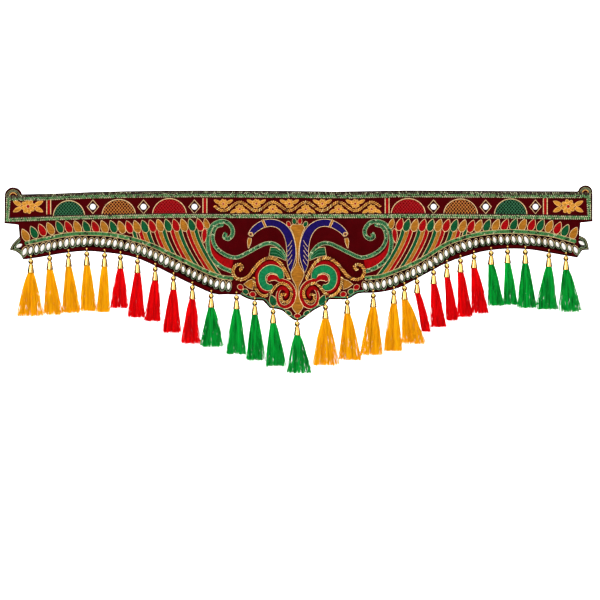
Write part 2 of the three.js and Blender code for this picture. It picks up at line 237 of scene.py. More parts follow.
def settings():
    return bpy.context.scene.toran


def shade_of(colour, share):
    """A colour made darker or lighter by a share."""
    return tuple(min(1.0, channel * share) for channel in colour[:3]) + (1.0,)


class Nodes:
    """A node tree whose nodes are written as calls."""

    def __init__(self, tree, family):
        self.tree = tree
        self.family = family

    def add(self, kind, inputs=None, out=0, **options):
        """A new node's output. Inputs are numbers or other outputs, options are the node's own settings."""
        node = self.tree.nodes.new(kind if "Node" in kind else self.family + kind)
        for label, value in options.items():
            setattr(node, label, value)
        for label, value in (inputs or {}).items():
            if isinstance(value, bpy.types.NodeSocket):
                self.tree.links.new(value, node.inputs[label])
            else:
                node.inputs[label].default_value = value
        return node.outputs[out]

    def math(self, operation, first, second=0.0):
        return self.add("ShaderNodeMath", {0: first, 1: second}, operation=operation)

    def plus(self, first, second):
        return self.math("ADD", first, second)

    def minus(self, first, second):
        return self.math("SUBTRACT", first, second)

    def times(self, first, second):
        return self.math("MULTIPLY", first, second)

    def axes(self, vector):
        """The outputs X, Y and Z of a vector."""
        return self.add("ShaderNodeSeparateXYZ", {0: vector}).node.outputs


class Material(Nodes):
    """A principled material. What is the same all over is set on the shader's own sockets."""

    def __init__(self, name, values):
        self.data = bpy.data.materials.new("toran " + name)
        self.data.use_nodes = True
        super().__init__(self.data.node_tree, "ShaderNode")
        self.shader = self.tree.nodes["Principled BSDF"]
        for label, value in values.items():
            self.shader.inputs[label].default_value = value

    def noise(self, scale, detail=2.0, place="Object"):
        """Noise on the piece's own coordinates, stretched by one scale or by one for each direction."""
        scale = scale if isinstance(scale, tuple) else (scale, scale, scale)
        mapped = self.add("Mapping", {"Vector": self.add("TexCoord", out=place), "Scale": scale})
        return self.add("TexNoise", {"Vector": mapped, "Scale": 1.0, "Detail": detail})

    def own_shade(self):
        """The number by chance that each stitch or strand carries."""
        return self.add("Attribute", out="Fac", attribute_name="shade")

    def stretched(self, value, low, high):
        return self.add("MapRange", {"Value": value, "From Min": low, "From Max": high})

    def mixed(self, factor, first, second):
        return self.add("Mix", {0: factor, 6: first, 7: second}, out=2, data_type="RGBA")

    def paint(self, factor, first, second):
        """Colours the material between two colours."""
        self.tree.links.new(self.mixed(factor, first, second), self.shader.inputs["Base Color"])

    def polish(self, value, low, high):
        """Lets the roughness go from low to high with a value."""
        rough = self.add("MapRange", {"Value": value, "To Min": low, "To Max": high})
        self.tree.links.new(rough, self.shader.inputs["Roughness"])

    def bump(self, height, strength, distance):
        raised = self.add("Bump", {"Height": height, "Strength": strength, "Distance": distance})
        self.tree.links.new(raised, self.shader.inputs["Normal"])


def velvet_material(name, colour, pile):
    """Short-pile velvet: dark straight on, paler where the pile turns away, and a little uneven."""
    made = Material(name, {
        "Roughness": 0.9, "Specular IOR Level": 0.02, "Sheen Weight": pile, "Sheen Roughness": 0.3,
        "Sheen Tint": shade_of(colour, 3.0),
    })
    clouds = made.noise(60, 3.0)
    fine = made.noise(1500)
    worn = made.mixed(made.stretched(clouds, 0.3, 0.7), shade_of(colour, 0.72), shade_of(colour, 1.2))
    made.paint(made.stretched(fine, 0.35, 0.65), shade_of(colour, 0.6), worn)
    made.bump(fine, 0.35, 0.0005)
    return made.data


def satin_material(name, colour, metal=0.0):
    """Satin stitch: fine strands of thread side by side across the filling's own length, with painted shade
    and painted sheen in stripes along them.
    """
    made = Material(name, {"Roughness": 0.45, "Metallic": metal, "Specular IOR Level": 0.03})
    thread_ridges = made.noise((0.08, 0.6, 1.0), 3.0, "UV")
    uneven = made.noise((0.1, 0.2, 1.0), 2.0, "UV")
    # Darker and lighter stripes of the one thread colour: painted shade in the grooves and painted sheen on
    # the ridges.
    ridge_shade_and_sheen = made.mixed(made.stretched(thread_ridges, 0.36, 0.66), shade_of(colour, 0.48), shade_of(colour, 1.3))
    made.paint(made.stretched(uneven, 0.4, 0.8), ridge_shade_and_sheen, shade_of(colour, 0.8))
    made.bump(thread_ridges, 0.5, 0.0004)
    return made.data


def cord_material(name, colour, metal=0.0, share=0.55):
    """Thread cord: fine flecks of a darker and a lighter shade."""
    made = Material(name, {"Roughness": 0.38, "Metallic": metal, "Specular IOR Level": 0.15})
    fleck = made.noise(620)
    made.paint(made.stretched(fleck, 0.32, 0.62), shade_of(colour, share), shade_of(colour, 1.25))
    made.bump(fleck, 0.4, 0.0004)
    return made.data


def stitch_material(name, colour, fleck_colour, flecks, dark=0.1, metal=0.2):
    """Braid stitches: most in one colour, some in another, a few nearly black, and each in its own shade."""
    made = Material(name, {"Roughness": 0.4, "Metallic": metal, "Specular IOR Level": 0.2})
    own = made.own_shade()
    lit = made.mixed(made.stretched(own, dark, 0.8), shade_of(colour, 0.75), shade_of(colour, 1.25))
    body = made.mixed(made.stretched(own, dark * 0.8, dark * 1.1), shade_of(colour, 0.08), lit)
    made.paint(made.stretched(own, 1.0 - flecks, 1.0 - flecks + 0.02), body, shade_of(fleck_colour, 1.0))
    made.bump(made.noise(900, 1.0), 0.3, 0.0003)
    return made.data


def silk_material(name, colour, dark):
    """Loose artificial silk: every strand in its own shade, with darker streaks of painted shade between its
    bundles of strands.
    """
    made = Material(name, {"Roughness": 0.4, "Specular IOR Level": 0.05})
    strand = made.mixed(made.own_shade(), shade_of(colour, 0.95), shade_of(colour, 1.35))
    lock_shade = made.noise((360, 360, 24))
    # Darker streaks: painted shade between the bundles of strands, as dark as the last number of the finish.
    made.paint(made.stretched(lock_shade, 0.38, 0.52), shade_of(colour, dark), strand)
    return made.data


def brass_material(name, colour):
    """Bright plated brass with faint wear."""
    made = Material(name, {"Metallic": 1.0, "Specular Tint": (0.4, 0.2, 0.06, 1.0)})
    wear = made.noise(170, 3.0)
    made.paint(wear, shade_of(colour, 0.92), shade_of(colour, 1.0))
    made.polish(wear, 0.16, 0.22)
    return made.data


def stone_material(name):
    """White cut acrylic with a hard clear surface."""
    made = Material(name, {
        "Roughness": 0.12, "Coat Weight": 0.6, "Coat Roughness": 0.04, "Specular IOR Level": 0.6,
    })
    milky = made.noise((230, 230, 140))
    made.paint(made.stretched(milky, 0.3, 0.6), (0.6, 0.54, 0.46, 1), (0.84, 0.81, 0.77, 1))
    return made.data


def mirror_material(name):
    """Small glass mirror, faintly clouded."""
    made = Material(name, {"Metallic": 0.25})
    cloud = made.noise(300)
    made.paint(cloud, (0.84, 0.86, 0.87, 1), (0.94, 0.94, 0.94, 1))
    made.polish(cloud, 0.03, 0.1)
    return made.data


# Each finish: the record's slot, its maker and the maker's values. A word is a colour from the settings, and
# a word with a number is a share of that colour.
FINISHES = {
    "velvet": ("velvet", velvet_material, "velvet", 0.02),
    "dark ribbon": ("velvet", velvet_material, ("velvet", 0.12), 0.0),
    "dark thread": ("velvet", satin_material, ("velvet", 0.3)),
    "braid ground": ("braid", cord_material, (0.02, 0.003, 0.002)),
    "braid": ("braid", stitch_material, "braid", (0.6, 0.66, 0.4), 0.08, 0.1),
    "braid shadow": ("braid", stitch_material, (0.13, 0.12, 0.06), (0.45, 0.45, 0.25), 0.25, 0.3),
    "braid edge": ("braid", stitch_material, (0.66, 0.64, 0.36), "braid", 0.2, 0.06),
    "lower braid": ("braid", stitch_material, (0.05, 0.24, 0.065), (0.4, 0.5, 0.26), 0.08, 0.1),
    "chain": ("braid", stitch_material, (0.035, 0.23, 0.085), (0.4, 0.55, 0.3), 0.1, 0.08),
    "thread_gold": ("thread_gold", satin_material, "gold", 0.15),
    "bright gold": ("thread_gold", satin_material, (0.56, 0.24, 0.03), 0.1),
    # The rope's gold ground is a dark core whose colour is painted shade between the turns. The gold twist's
    # cream stitches are painted highlights, and its nearly black ones are painted shade.
    "gold ground": ("thread_gold", cord_material, (0.13, 0.04, 0.008)),
    "gold twist": ("thread_gold", stitch_material, (0.8, 0.37, 0.06), (0.9, 0.6, 0.2), 0.25, 0.06, 0.0),
    "gold cord": ("thread_gold", cord_material, (0.75, 0.38, 0.1), 0.1, 0.6),
    "lattice gold": ("thread_gold", cord_material, (0.63, 0.22, 0.04), 0.1, 0.7),
    "thread_red": ("thread_red", satin_material, "red"),
    "dark red": ("thread_red", satin_material, (0.16, 0.0004, 0.002)),
    "red cord": ("thread_red", cord_material, (0.38, 0.002, 0.005), 0.0, 0.8),
    "thread_green": ("thread_green", satin_material, "green"),
    "bright green": ("thread_green", satin_material, (0.006, 0.17, 0.056)),
    "dark green": ("thread_green", satin_material, (0.001, 0.016, 0.006)),
    "green cord": ("thread_green", cord_material, (0.05, 0.26, 0.12), 0.0, 0.6),
    "lattice green": ("thread_green", cord_material, (0.042, 0.185, 0.082), 0.0, 0.7),
    "thread_blue": ("thread_blue", satin_material, "blue"),
    "thread_cord": ("thread_cord", cord_material, "cord", 0.25),
    "pale cord": ("thread_cord", cord_material, (0.5, 0.5, 0.26), 0.1, 0.6),
    "sage cord": ("thread_cord", cord_material, (0.19, 0.26, 0.14), 0.1, 0.2),
    "olive cord": ("thread_cord", cord_material, (0.2, 0.21, 0.1), 0.3, 0.25),
    # The silk's last number is how dark the painted shade between its bundles of strands is.
    "silk_yellow": ("silk_yellow", silk_material, "silk_yellow", 0.84),
    "silk_red": ("silk_red", silk_material, "silk_red", 0.8),
    "silk_green": ("silk_green", silk_material, "silk_green", 0.45),
    "brass": ("brass", brass_material, "brass"),
    "stone": ("stone", stone_material),
    "mirror": ("mirror", mirror_material),
}


def finish_value(value):
    """A value of a finish, with a colour of the settings in place of its word."""
    if isinstance(value, str):
        return getattr(settings(), value)
    if isinstance(value, tuple) and isinstance(value[0], str):
        return shade_of(getattr(settings(), value[0]), value[1])
    return value


def material_for(label):
    """The material of a finish, made once. The solids' own materials have other names."""
    maker, *values = FINISHES[label][1:]
    return bpy.data.materials.get("toran " + label) or maker(label, *map(finish_value, values))


def smooth(points, step, closed=False):
    """Evenly spaced points of a smooth line through a row of points. Further numbers are carried along."""
    rows = np.array(points, float)
    if closed:
        rows = np.vstack([rows[-1], rows, rows[0], rows[1]])
    else:
        rows = np.vstack([2 * rows[0] - rows[1], rows, 2 * rows[-1] - rows[-2]])
    fine = []
    for a, b, c, d in zip(rows, rows[1:], rows[2:], rows[3:]):
        for t in np.linspace(0, 1, 12, endpoint=False):
            bent = (2 * a - 5 * b + 4 * c - d) * t * t + (3 * b - a - 3 * c + d) * t ** 3
            fine.append(0.5 * (2 * b + (c - a) * t + bent))
    fine = np.array(fine + [rows[-2]])
    travelled = np.concatenate([[0], np.cumsum(np.hypot(*np.diff(fine[:, :2], axis=0).T))])
    count = max(2, round(travelled[-1] / step))
    places = np.linspace(0, travelled[-1], count + 1)
    spaced = np.column_stack([np.interp(places, travelled, column) for column in fine.T])
    return spaced[:-1] if closed else spaced


def length_of(line):
    return float(np.hypot(*np.diff(np.array(line)[:, :2], axis=0).T).sum())


def beside(line, distance):
    """The line at a distance to the left of a line's own direction."""
    line = np.array(line, float)[:, :2]
    along = np.gradient(line, axis=0)
    along /= np.maximum(np.hypot(*along.T), 1e-9)[:, None]
    distance = np.broadcast_to(distance, len(line))[:, None]
    return line + np.column_stack([-along[:, 1], along[:, 0]]) * distance


def round_angles(count):
    """Angles of a full turn in even steps."""
    return [2 * math.pi * i / count for i in range(count)]


def teardrop(length, width):
    """Outline of a petal with its tip up."""
    return [
        (width / 1.72 * math.sin(t) * math.sin(t / 2) ** 0.6, length / 2 * math.cos(t))
        for t in round_angles(18)
    ]


def oval(width, height, count=16):
    return [(width / 2 * math.sin(t), height / 2 * math.cos(t)) for t in round_angles(count)]


def turned(x, z, turn):
    """A point turned by degrees round the drawing's zero."""
    angle = math.radians(turn)
    return (x * math.cos(angle) - z * math.sin(angle), x * math.sin(angle) + z * math.cos(angle))


def placed(outline, x, z, turn=0.0, side=1):
    """An outline turned by degrees, mirrored for a side, and put in its place."""
    return [(x + side * px, z + pz) for px, pz in (turned(*point, turn) for point in outline)]


def shrunk(outline, x, z, share):
    """An outline drawn in towards a point."""
    return [(x + (px - x) * share, z + (pz - z) * share) for px, pz in outline]


def across(side, out):
    """A place along the hanging from its distance to the middle. The right side is sewn a little wider."""
    if side > 0:
        out += float(np.interp(out, (60, 110, 150), (0.5, 4.0, 7.0)))
    return AXIS + side * out


def mirrored(rows, side):
    """Points given outwards from the hanging's middle, placed on one of its sides."""
    return [(across(side, row[0]), *row[1:]) for row in rows]


def linked(name, data):
    """A new object in the scene."""
    made = bpy.data.objects.new(name, data)
    bpy.context.scene.collection.objects.link(made)
    return made


def dress(made, label):
    """Gives a piece or a carried CAD node its finish."""
    made.data.materials.clear()
    made.data.materials.append(material_for(label))


def piece(name, mesh, label, replaced=()):
    """A finished piece in its material, riding the cloth."""
    made = linked(name.replace(" ", "_"), mesh)
    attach(made, "root")
    dress(made, label)
    if replaced:
        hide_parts(*replaced)
    made["sewn"] = True


def skin(rings, size, first=0):
    """Faces between rings of corners, each ring of one size, from the number of the first corner."""
    faces = []
    for start in range(first, first + (rings - 1) * size, size):
        for i in range(size):
            a = start + i
            b = start + (i + 1) % size
            faces.append((a, b, b + size, a + size))
    return faces


def closed_mesh(name, corners, faces, places=None):
    """A closed mesh from corners in millimetres, with its faces outwards and its stitch places as UV map."""
    mesh = bpy.data.meshes.new(name)
    mesh.from_pydata([Vector(corner) * MM for corner in corners], [], faces)
    if places:
        layer = mesh.uv_layers.new(name="Stitches")
        for loop in mesh.loops:
            layer.data[loop.index].uv = places[loop.vertex_index]
    work = bmesh.new()
    work.from_mesh(mesh)
    bmesh.ops.remove_doubles(work, verts=work.verts, dist=2 * SAME_SPOT)
    bmesh.ops.recalc_face_normals(work, faces=work.faces)
    for face in work.faces:
        face.smooth = True
    work.to_mesh(mesh)
    work.free()
    return mesh


class Tree(Nodes):
    """A Geometry Nodes tree with named inputs, a seed and a material."""

    def __init__(self, name, inputs):
        super().__init__(bpy.data.node_groups.new(name, "GeometryNodeTree"), "GeometryNode")
        sockets = self.tree.interface
        kinds = {"Geometry": "Geometry", **inputs, "Seed": "Int", "Material": "Material"}
        for label, kind in kinds.items():
            sockets.new_socket(label, in_out="INPUT", socket_type="NodeSocket" + kind)
        sockets.new_socket("Geometry", in_out="OUTPUT", socket_type="NodeSocketGeometry")
        self.given = self.tree.nodes.new("NodeGroupInput").outputs

    def rotation(self, x, y, z):
        return self.add("FunctionNodeEulerToRotation", {0: self.vector(x, y, z)})

    def vector(self, x, y, z):
        return self.add("ShaderNodeCombineXYZ", {0: x, 1: y, 2: z})

    def between(self, first, second, share):
        values = {0: share, 2: first, 3: second}
        return self.add("ShaderNodeMix", values, data_type="FLOAT", clamp_factor=False)

    def chance(self, low, high, seed):
        """A number by chance for each element, the same each time for the same seed."""
        seed = self.plus(self.given["Seed"], float(seed))
        return self.add("FunctionNodeRandomValue", {2: low, 3: high, 8: seed}, out=1, data_type="FLOAT")

    def stored(self, geometry, label, value, domain="POINT"):
        return self.add("StoreNamedAttribute", {"Geometry": geometry, "Name": label, "Value": value},
                        data_type="FLOAT", domain=domain)

    def read(self, label):
        return self.add("InputNamedAttribute", {"Name": label}, data_type="FLOAT")

    def end(self, geometry):
        """Realizes the instances, sets the material and hands the geometry out."""
        real = self.add("RealizeInstances", {"Geometry": geometry})
        dressed = self.add("SetMaterial", {"Geometry": real, "Material": self.given["Material"]})
        output = self.tree.nodes.new("NodeGroupOutput")
        self.tree.links.new(dressed, output.inputs["Geometry"])
        return self.tree


def cord_tree():
    """A cord of strands along each line of a mesh. Each point's width is read from the mesh."""
    tree = Tree("Cord along lines", {"Strands": "Int", "Groove": "Float"})
    profile = tree.add("CurveStar", {
        "Points": tree.given["Strands"],
        "Inner Radius": tree.minus(1.0, tree.given["Groove"]),
        "Outer Radius": 1.0,
    })
    return tree.end(tree.add("CurveToMesh", {
        "Curve": tree.add("MeshToCurve", {"Mesh": tree.given["Geometry"]}),
        "Profile Curve": profile,
        "Scale": tree.times(tree.read("width"), 0.5),
        "Fill Caps": True,
    }))


def row_tree():
    """Pieces in a row along each line of a mesh, following it or leaning, each a little off by chance."""
    tree = Tree("Pieces along lines", {
        "Pitch": "Float", "Follow": "Float", "Lean": "Float", "Sway": "Float", "Unevenness": "Float",
        "Size": "Vector", "Piece": "Object",
    })
    given = tree.given
    curve = tree.add("MeshToCurve", {"Mesh": given["Geometry"]})
    spaced = tree.add("ResampleCurve", {0: curve, 3: given["Pitch"]}, mode="LENGTH")
    along = tree.axes(tree.add("InputTangent"))
    angle = tree.times(tree.math("ARCTAN2", along["Z"], along["X"]), given["Follow"])
    angle = tree.plus(angle, given["Lean"])
    angle = tree.plus(angle, tree.times(tree.chance(-1.0, 1.0, 1), given["Sway"]))
    stray = tree.times(tree.chance(-1.0, 1.0, 2), given["Unevenness"])
    size = {0: given["Size"], "Scale": tree.plus(stray, 1.0)}
    rowed = tree.add("InstanceOnPoints", {
        "Points": spaced,
        "Instance": tree.add("ObjectInfo", {"Object": given["Piece"]}, out="Geometry"),
        "Rotation": tree.rotation(0.0, tree.times(angle, -1.0), 0.0),
        "Scale": tree.add("ShaderNodeVectorMath", size, operation="SCALE"),
    })
    return tree.end(tree.stored(rowed, "shade", tree.chance(0.0, 1.0, 3), "INSTANCE"))


def point_tree():
    """One piece on every point of a mesh, each turned by chance round its own upright axis."""
    tree = Tree("Pieces on points", {"Piece": "Object"})
    return tree.end(tree.add("InstanceOnPoints", {
        "Points": tree.given["Geometry"],
        "Instance": tree.add("ObjectInfo", {"Object": tree.given["Piece"]}, out="Geometry"),
        "Rotation": tree.rotation(0.0, 0.0, tree.chance(0.0, 2 * math.pi, 1)),
    }))


def silk_tree():
    """Loose strands from each cap to its hem. Each point carries its tassel's drop, half width and shift."""
    tree = Tree("Silk strands", {
        "Strands": "Int", "Strand width": "Float", "Root radius": "Float", "Hem half depth": "Float",
        "Forward": "Float", "Scatter": "Float",
    })
    given = tree.given
    copies = {"Geometry": given["Geometry"], "Amount": given["Strands"]}
    points = tree.add("DuplicateElements", copies, domain="POINT")
    points = tree.stored(points, "angle", tree.chance(0.0, 2 * math.pi, 1))
    points = tree.stored(points, "reach", tree.math("SQRT", tree.chance(0.06, 1.0, 2)))
    points = tree.stored(points, "shade", tree.chance(0.0, 1.0, 3))
    points = tree.stored(points, "stray", tree.chance(-1.0, 1.0, 4))
    line = tree.add("CurvePrimitiveLine", {0: (0, 0, 0), 1: (0, 0, -1)})
    line = tree.add("ResampleCurve", {0: line, 2: 7})
    strands = tree.add("InstanceOnPoints", {"Points": points, "Instance": line})
    strands = tree.add("RealizeInstances", {"Geometry": strands})

    # Every strand opens out from the cap to the hem with a slight wave, and ends at its own length.
    down = tree.add("SplineParameter")
    opened = tree.math("POWER", down, 0.82)
    angle, reach, stray = tree.read("angle"), tree.read("reach"), tree.read("stray")
    half = tree.between(given["Root radius"], tree.read("half"), opened)
    depth = tree.between(given["Root radius"], given["Hem half depth"], opened)
    phase = tree.plus(tree.times(down, 6.0), tree.times(stray, 9.0))
    wave = tree.times(tree.math("SINE", phase), tree.times(down, 0.0011))
    x = tree.times(tree.times(tree.math("COSINE", angle), reach), half)
    x = tree.plus(tree.plus(x, tree.times(tree.read("shift"), opened)), wave)
    y = tree.times(tree.times(tree.math("SINE", angle), reach), depth)
    y = tree.minus(y, tree.times(given["Forward"], opened))
    reached = tree.plus(tree.read("drop"), tree.times(stray, given["Scatter"]))
    z = tree.minus(down, tree.times(down, reached))
    strands = tree.add("SetPosition", {"Geometry": strands, "Offset": tree.vector(x, y, z)})
    mesh = tree.add("CurveToMesh", {
        "Curve": strands,
        "Profile Curve": tree.add("CurvePrimitiveCircle", {"Resolution": 3, "Radius": 1.0}),
        "Scale": tree.times(given["Strand width"], 0.5),
        "Fill Caps": True,
    })
    return tree.end(tree.add("SetShadeSmooth", {"Geometry": mesh, "Shade Smooth": True}))


def grown(maker, tree_name, name, source, label, seed, values):
    """The plain mesh that a tree makes from a source mesh. Inputs are set by their sockets' identifiers."""
    tree = bpy.data.node_groups.get(tree_name) or maker()
    values = {**values, "Seed": seed, "Material": material_for(label)}
    holder = linked(name, source)
    modifier = holder.modifiers.new("Grow", "NODES")
    modifier.node_group = tree
    for item in tree.interface.items_tree:
        if item.in_out == "INPUT" and item.name in values:
            modifier[item.identifier] = values[item.name]
    found = holder.evaluated_get(bpy.context.evaluated_depsgraph_get())
    mesh = bpy.data.meshes.new_from_object(found)
    holder.modifiers.remove(modifier)
    bpy.data.objects.remove(holder)
    bpy.data.meshes.remove(source)
    if not mesh.polygons:
        raise RuntimeError(f"{name} came out empty")
    mesh.name = name
    return mesh


def line_mesh(name, lines):
    """Edges along lines, each given as points, closed or not, width and height off the cloth's back."""
    corners = []
    edges = []
    widths = []
    for points, closed, width, off in lines:
        first = len(corners)
        corners += [Vector((point[0], -off, point[1])) * MM for point in points]
        edges += [(i, i + 1) for i in range(first, len(corners) - 1)]
        if closed:
            edges.append((len(corners) - 1, first))
        widths += [width * MM] * len(points)
    mesh = bpy.data.meshes.new(name)
    mesh.from_pydata(corners, edges, [])
    mesh.attributes.new("width", "FLOAT", "POINT").data.foreach_set("value", widths)
    return mesh


def cords(name, label, lines, groove=0.12):
    """Cords of three strands along lines, as one mesh."""
    return grown(cord_tree, "Cord along lines", name, line_mesh(name, lines), label, 1, {
        "Strands": 3, "Groove": groove,
    })


def sew_row(name, label, lines, shape, pitch, size=(1, 1, 1), follow=1.0, lean=0.0, sway=0.12, uneven=0.12,
            seed=1, replaced=()):
    """Pieces of one shape in a row along each line, as one finished piece."""
    holder = bpy.data.objects.new(name + " shape", shape)
    mesh = grown(row_tree, "Pieces along lines", name, line_mesh(name, lines), label, seed, {
        "Pitch": pitch * MM, "Follow": follow, "Lean": math.radians(lean), "Sway": sway, "Unevenness": uneven,
        "Size": size, "Piece": holder,
    })
    bpy.data.objects.remove(holder)
    piece(name, mesh, label, replaced)


def stitch_shape():
    """One rounded stitch, a unit long, wide and high."""
    known = bpy.data.meshes.get("stitch")
    if known:
        return known
    mesh = bpy.data.meshes.new("stitch")
    work = bmesh.new()
    bmesh.ops.create_icosphere(work, subdivisions=1, radius=0.5 * MM)
    for face in work.faces:
        face.smooth = True
    work.to_mesh(mesh)
    work.free()
    return mesh


class Needlework:
    """Fillings, cords, ropes and stitch rows of one group, gathered by thread and then made into pieces."""

    def __init__(self, group):
        self.group = group
        self.fills = {}
        self.cords = {}
        self.rows = {}
        self.rise = settings().satin_rise / MM
        self.cord_width = settings().cord_width / MM

    def _gather(self, label, rings, places, crown=None):
        """Adds a closed shape of rings, flat at its first and flat or rising to a crown at its last."""
        corners, faces, stitch_places = self.fills.setdefault(label, ([], [], []))
        first = len(corners)
        size = len(rings[0])
        last = first + (len(rings) - 1) * size
        corners += [corner for ring in rings for corner in ring]
        stitch_places += places
        faces += skin(len(rings), size, first)
        faces.append(tuple(range(first, first + size)))
        if crown is None:
            faces.append(tuple(range(last, last + size)))
        else:
            corners.append(crown[0])
            stitch_places.append(crown[1])
            faces += [(last + i, last + (i + 1) % size, len(corners) - 1) for i in range(size)]

    def strip(self, label, left, right, rise=1.0, lift=0.0):
        """A padded filling between two side lines, stitched across."""
        rings = []
        places = []
        travelled = 0.0
        middle = [((a[0] + b[0]) / 2, (a[1] + b[1]) / 2) for a, b in zip(left, right)]
        for i, (a, b) in enumerate(zip(left, right)):
            wide = math.hypot(b[0] - a[0], b[1] - a[1])
            high = self.rise * rise * min(1.0, 0.25 + wide / 4)
            travelled += math.dist(middle[i], middle[i - 1]) if i else 0.0
            rings.append([
                (a[0] + (b[0] - a[0]) * share, -(CLOTH_FACE + lift + up * high), a[1] + (b[1] - a[1]) * share)
                for share, up in FILL_SECTION
            ])
            places += [(wide * share, travelled) for share, up in FILL_SECTION]
        self._gather(label, rings, places)

    def band(self, label, line, rise=1.0, lift=0.0, edge=None):
        """A padded filling along a line whose points carry its width, edged with cord if one is named."""
        spaced = smooth(line, 2.5)
        half = spaced[:, 2] / 2
        left = beside(spaced, half)
        right = beside(spaced, -half)
        self.strip(label, left, right, rise, lift)
        if edge:
            self.cord(edge, [*left, *right[::-1]], closed=True, lift=lift)

    def pad(self, label, outline, rise=1.0, turn=0.0, lift=0.0, edge=None):
        """A rounded filling inside an outline, stitched in the direction of turn degrees."""
        middle = np.mean(np.array(outline, float), axis=0)
        high = self.rise * rise
        rings = []
        places = []
        for share, up in PAD_SECTION:
            spots = [middle + (np.array(point) - middle) * share for point in outline]
            rings.append([(x, -(CLOTH_FACE + lift + up * high), z) for x, z in spots])
            places += [turned(x, z, -turn) for x, z in spots]
        crown = (middle[0], -(CLOTH_FACE + lift + high), middle[1])
        self._gather(label, rings, places, (crown, turned(*middle, -turn)))
        if edge:
            self.cord(edge, outline, closed=True, lift=lift)

    def cord(self, label, points, width=None, closed=False, lift=0.0):
        width = width or self.cord_width
        self.cords.setdefault(label, []).append((points, closed, width, CLOTH_FACE + lift + width * 0.42))

    def stitches(self, label, line, size, pitch, turn, off):
        """A row of stitches along a line, each turned by degrees from the line's direction."""
        self.rows.setdefault((label, size, pitch, turn), []).append((line, False, 1.0, off))

    def rope(self, line, width, lift=0.0):
        """A gold rope along a line: slanting turns of thread round a dark core, whose colour showing between
        the turns is painted shade in the grooves.
        """
        self.cord("gold ground", line, width * 0.86, lift=lift)
        size = (width * 1.12, width * 0.5, 3.0)
        self.stitches("gold twist", line, size, 3.3, 52.0, CLOTH_FACE + lift + width * 0.52)

    def chain(self, line, width, lift):
        """A double row of slanting stitches between two cords, along a line."""
        spaced = smooth(line, 2.0)
        self.strip("dark thread", beside(spaced, width / 2), beside(spaced, -width / 2), 0.5, lift)
        pitch = settings().stitch_pitch / MM
        size = (width * 0.66, 1.3, pitch * 0.68)
        for side in (1, -1):
            run = beside(spaced, width * 0.22 * side)
            self.stitches("chain", run, size, pitch, 32.0 * side, CLOTH_FACE + lift + 0.7)
        for side in (1, -1):
            self.cord("pale cord", beside(spaced, width * 0.5 * side), 0.8, lift=lift)

    def make(self):
        """Makes every gathered piece."""
        for label, (corners, faces, places) in self.fills.items():
            name = f"{self.group} {label} filling"
            piece(name, closed_mesh(name, corners, faces, places), label)
        for label, lines in self.cords.items():
            name = f"{self.group} {label}"
            piece(name, cords(name, label, lines), label)
        for number, ((label, size, pitch, turn), lines) in enumerate(self.rows.items(), 1):
            name = f"{self.group} {label} stitches {number}"
            sew_row(name, label, lines, stitch_shape(), pitch, size, lean=turn, seed=number)


def header_line(share, foot):
    """A line along the header strip, a share of the braid's width in from its upper or lower side."""
    left, right = HEADER_FOOT[0][0], HEADER_FOOT[-1][0]
    inwards = HEADER_BRAID["end"] * share
    start, end = TOP_EDGE[0][0], TOP_EDGE[-1][0]
    points = []
    for x in np.linspace(left, right, 60):
        if foot:
            z = np.interp(x, *np.array(HEADER_FOOT).T) + HEADER_BRAID["side"] * share
        else:
            at = start + (x - left) / (right - left) * (end - start)
            z = np.interp(at, *np.array(TOP_EDGE).T) - HEADER_BRAID["inset"] - HEADER_BRAID["side"] * share
        points.append((left + inwards + (x - left) / (right - left) * (right - left - 2 * inwards), z))
    return points


def braid_height(x):
    """Height of the lower braid's middle line at a place along the hanging."""
    line = LOWER_BRAIDS["left"] if x < 0 else LOWER_BRAIDS["right"][::-1]
    return float(np.interp(x, *np.array(line).T))


def stitch_braid():
    """Stitches on the header frame and on both lower braids."""
    pitch = settings().stitch_pitch / MM
    off = SEWN_FACE + BRAID_THICKNESS + 0.15
    outer_top = header_line(0.34, False)
    rows = [
        ("braid shadow", 38.0, header_line(0.1, False), False),
        ("braid shadow", -38.0, outer_top, False),
        ("braid edge", 20.0, [outer_top[0], *header_line(0.18, True), outer_top[-1]], False),
    ]
    for top_share, foot_share, label, turn in (
        (0.58, 0.35, "braid", -38.0), (0.8, 0.53, "braid", 38.0), (1.02, 0.71, "braid edge", -20.0),
    ):
        loop = [*header_line(top_share, False), *header_line(foot_share, True)[::-1]]
        rows.append((label, turn, loop, True))
    for number, (label, turn, line, closed) in enumerate(rows, 1):
        sew_row(f"header stitches {number}", label, [(line, closed, 1.0, off)], stitch_shape(), pitch,
                (2.1, 1.2, pitch * 0.62), lean=turn, seed=number)
    lines = [smooth(points, 4.0) for points in LOWER_BRAIDS.values()]
    for number, side in enumerate((1, -1), 1):
        run = [(beside(line, LOWER_BRAID_WIDTH * 0.26 * side), False, 1.0, off) for line in lines]
        sew_row(f"lower braid stitches {number}", "lower braid", run, stitch_shape(), pitch,
                (4.0, 1.3, pitch * 0.78), lean=34.0 * side, seed=number + 4)
    edges = [
        (beside(line, LOWER_BRAID_WIDTH * share), False, 0.8, off - 0.3)
        for line in lines for share in (0.6, -0.6)
    ]
    piece("lower braid edges", cords("lower braid edges", "thread_cord", edges), "thread_cord")


def stone_shape():
    """A long pointed stone, its table towards the viewer."""
    sides = 12
    outline = [
        (STONE["width"] * 0.57 * math.sin(t) * abs(math.sin(t)) ** 0.45, STONE["length"] * 0.53 * math.cos(t))
        for t in round_angles(sides)
    ]
    corners = [
        (x * share, -STONE["rise"] * up, z * share)
        for share, up in ((0.94, 0), (1, 0.3), (0.8, 0.72), (0.5, 1)) for x, z in outline
    ]
    caps = [tuple(range(sides)), tuple(range(3 * sides, 4 * sides))]
    mesh = closed_mesh("stone shape", corners, skin(4, sides) + caps)
    for face in mesh.polygons:
        face.use_smooth = False
    return mesh


def trim_line(side):
    """The middle line of a stone trim, the way the solid has it."""
    line = smooth(LOWER_BRAIDS[side], 15.0)
    return beside(line, -STONE["below"] if side == "left" else STONE["below"])


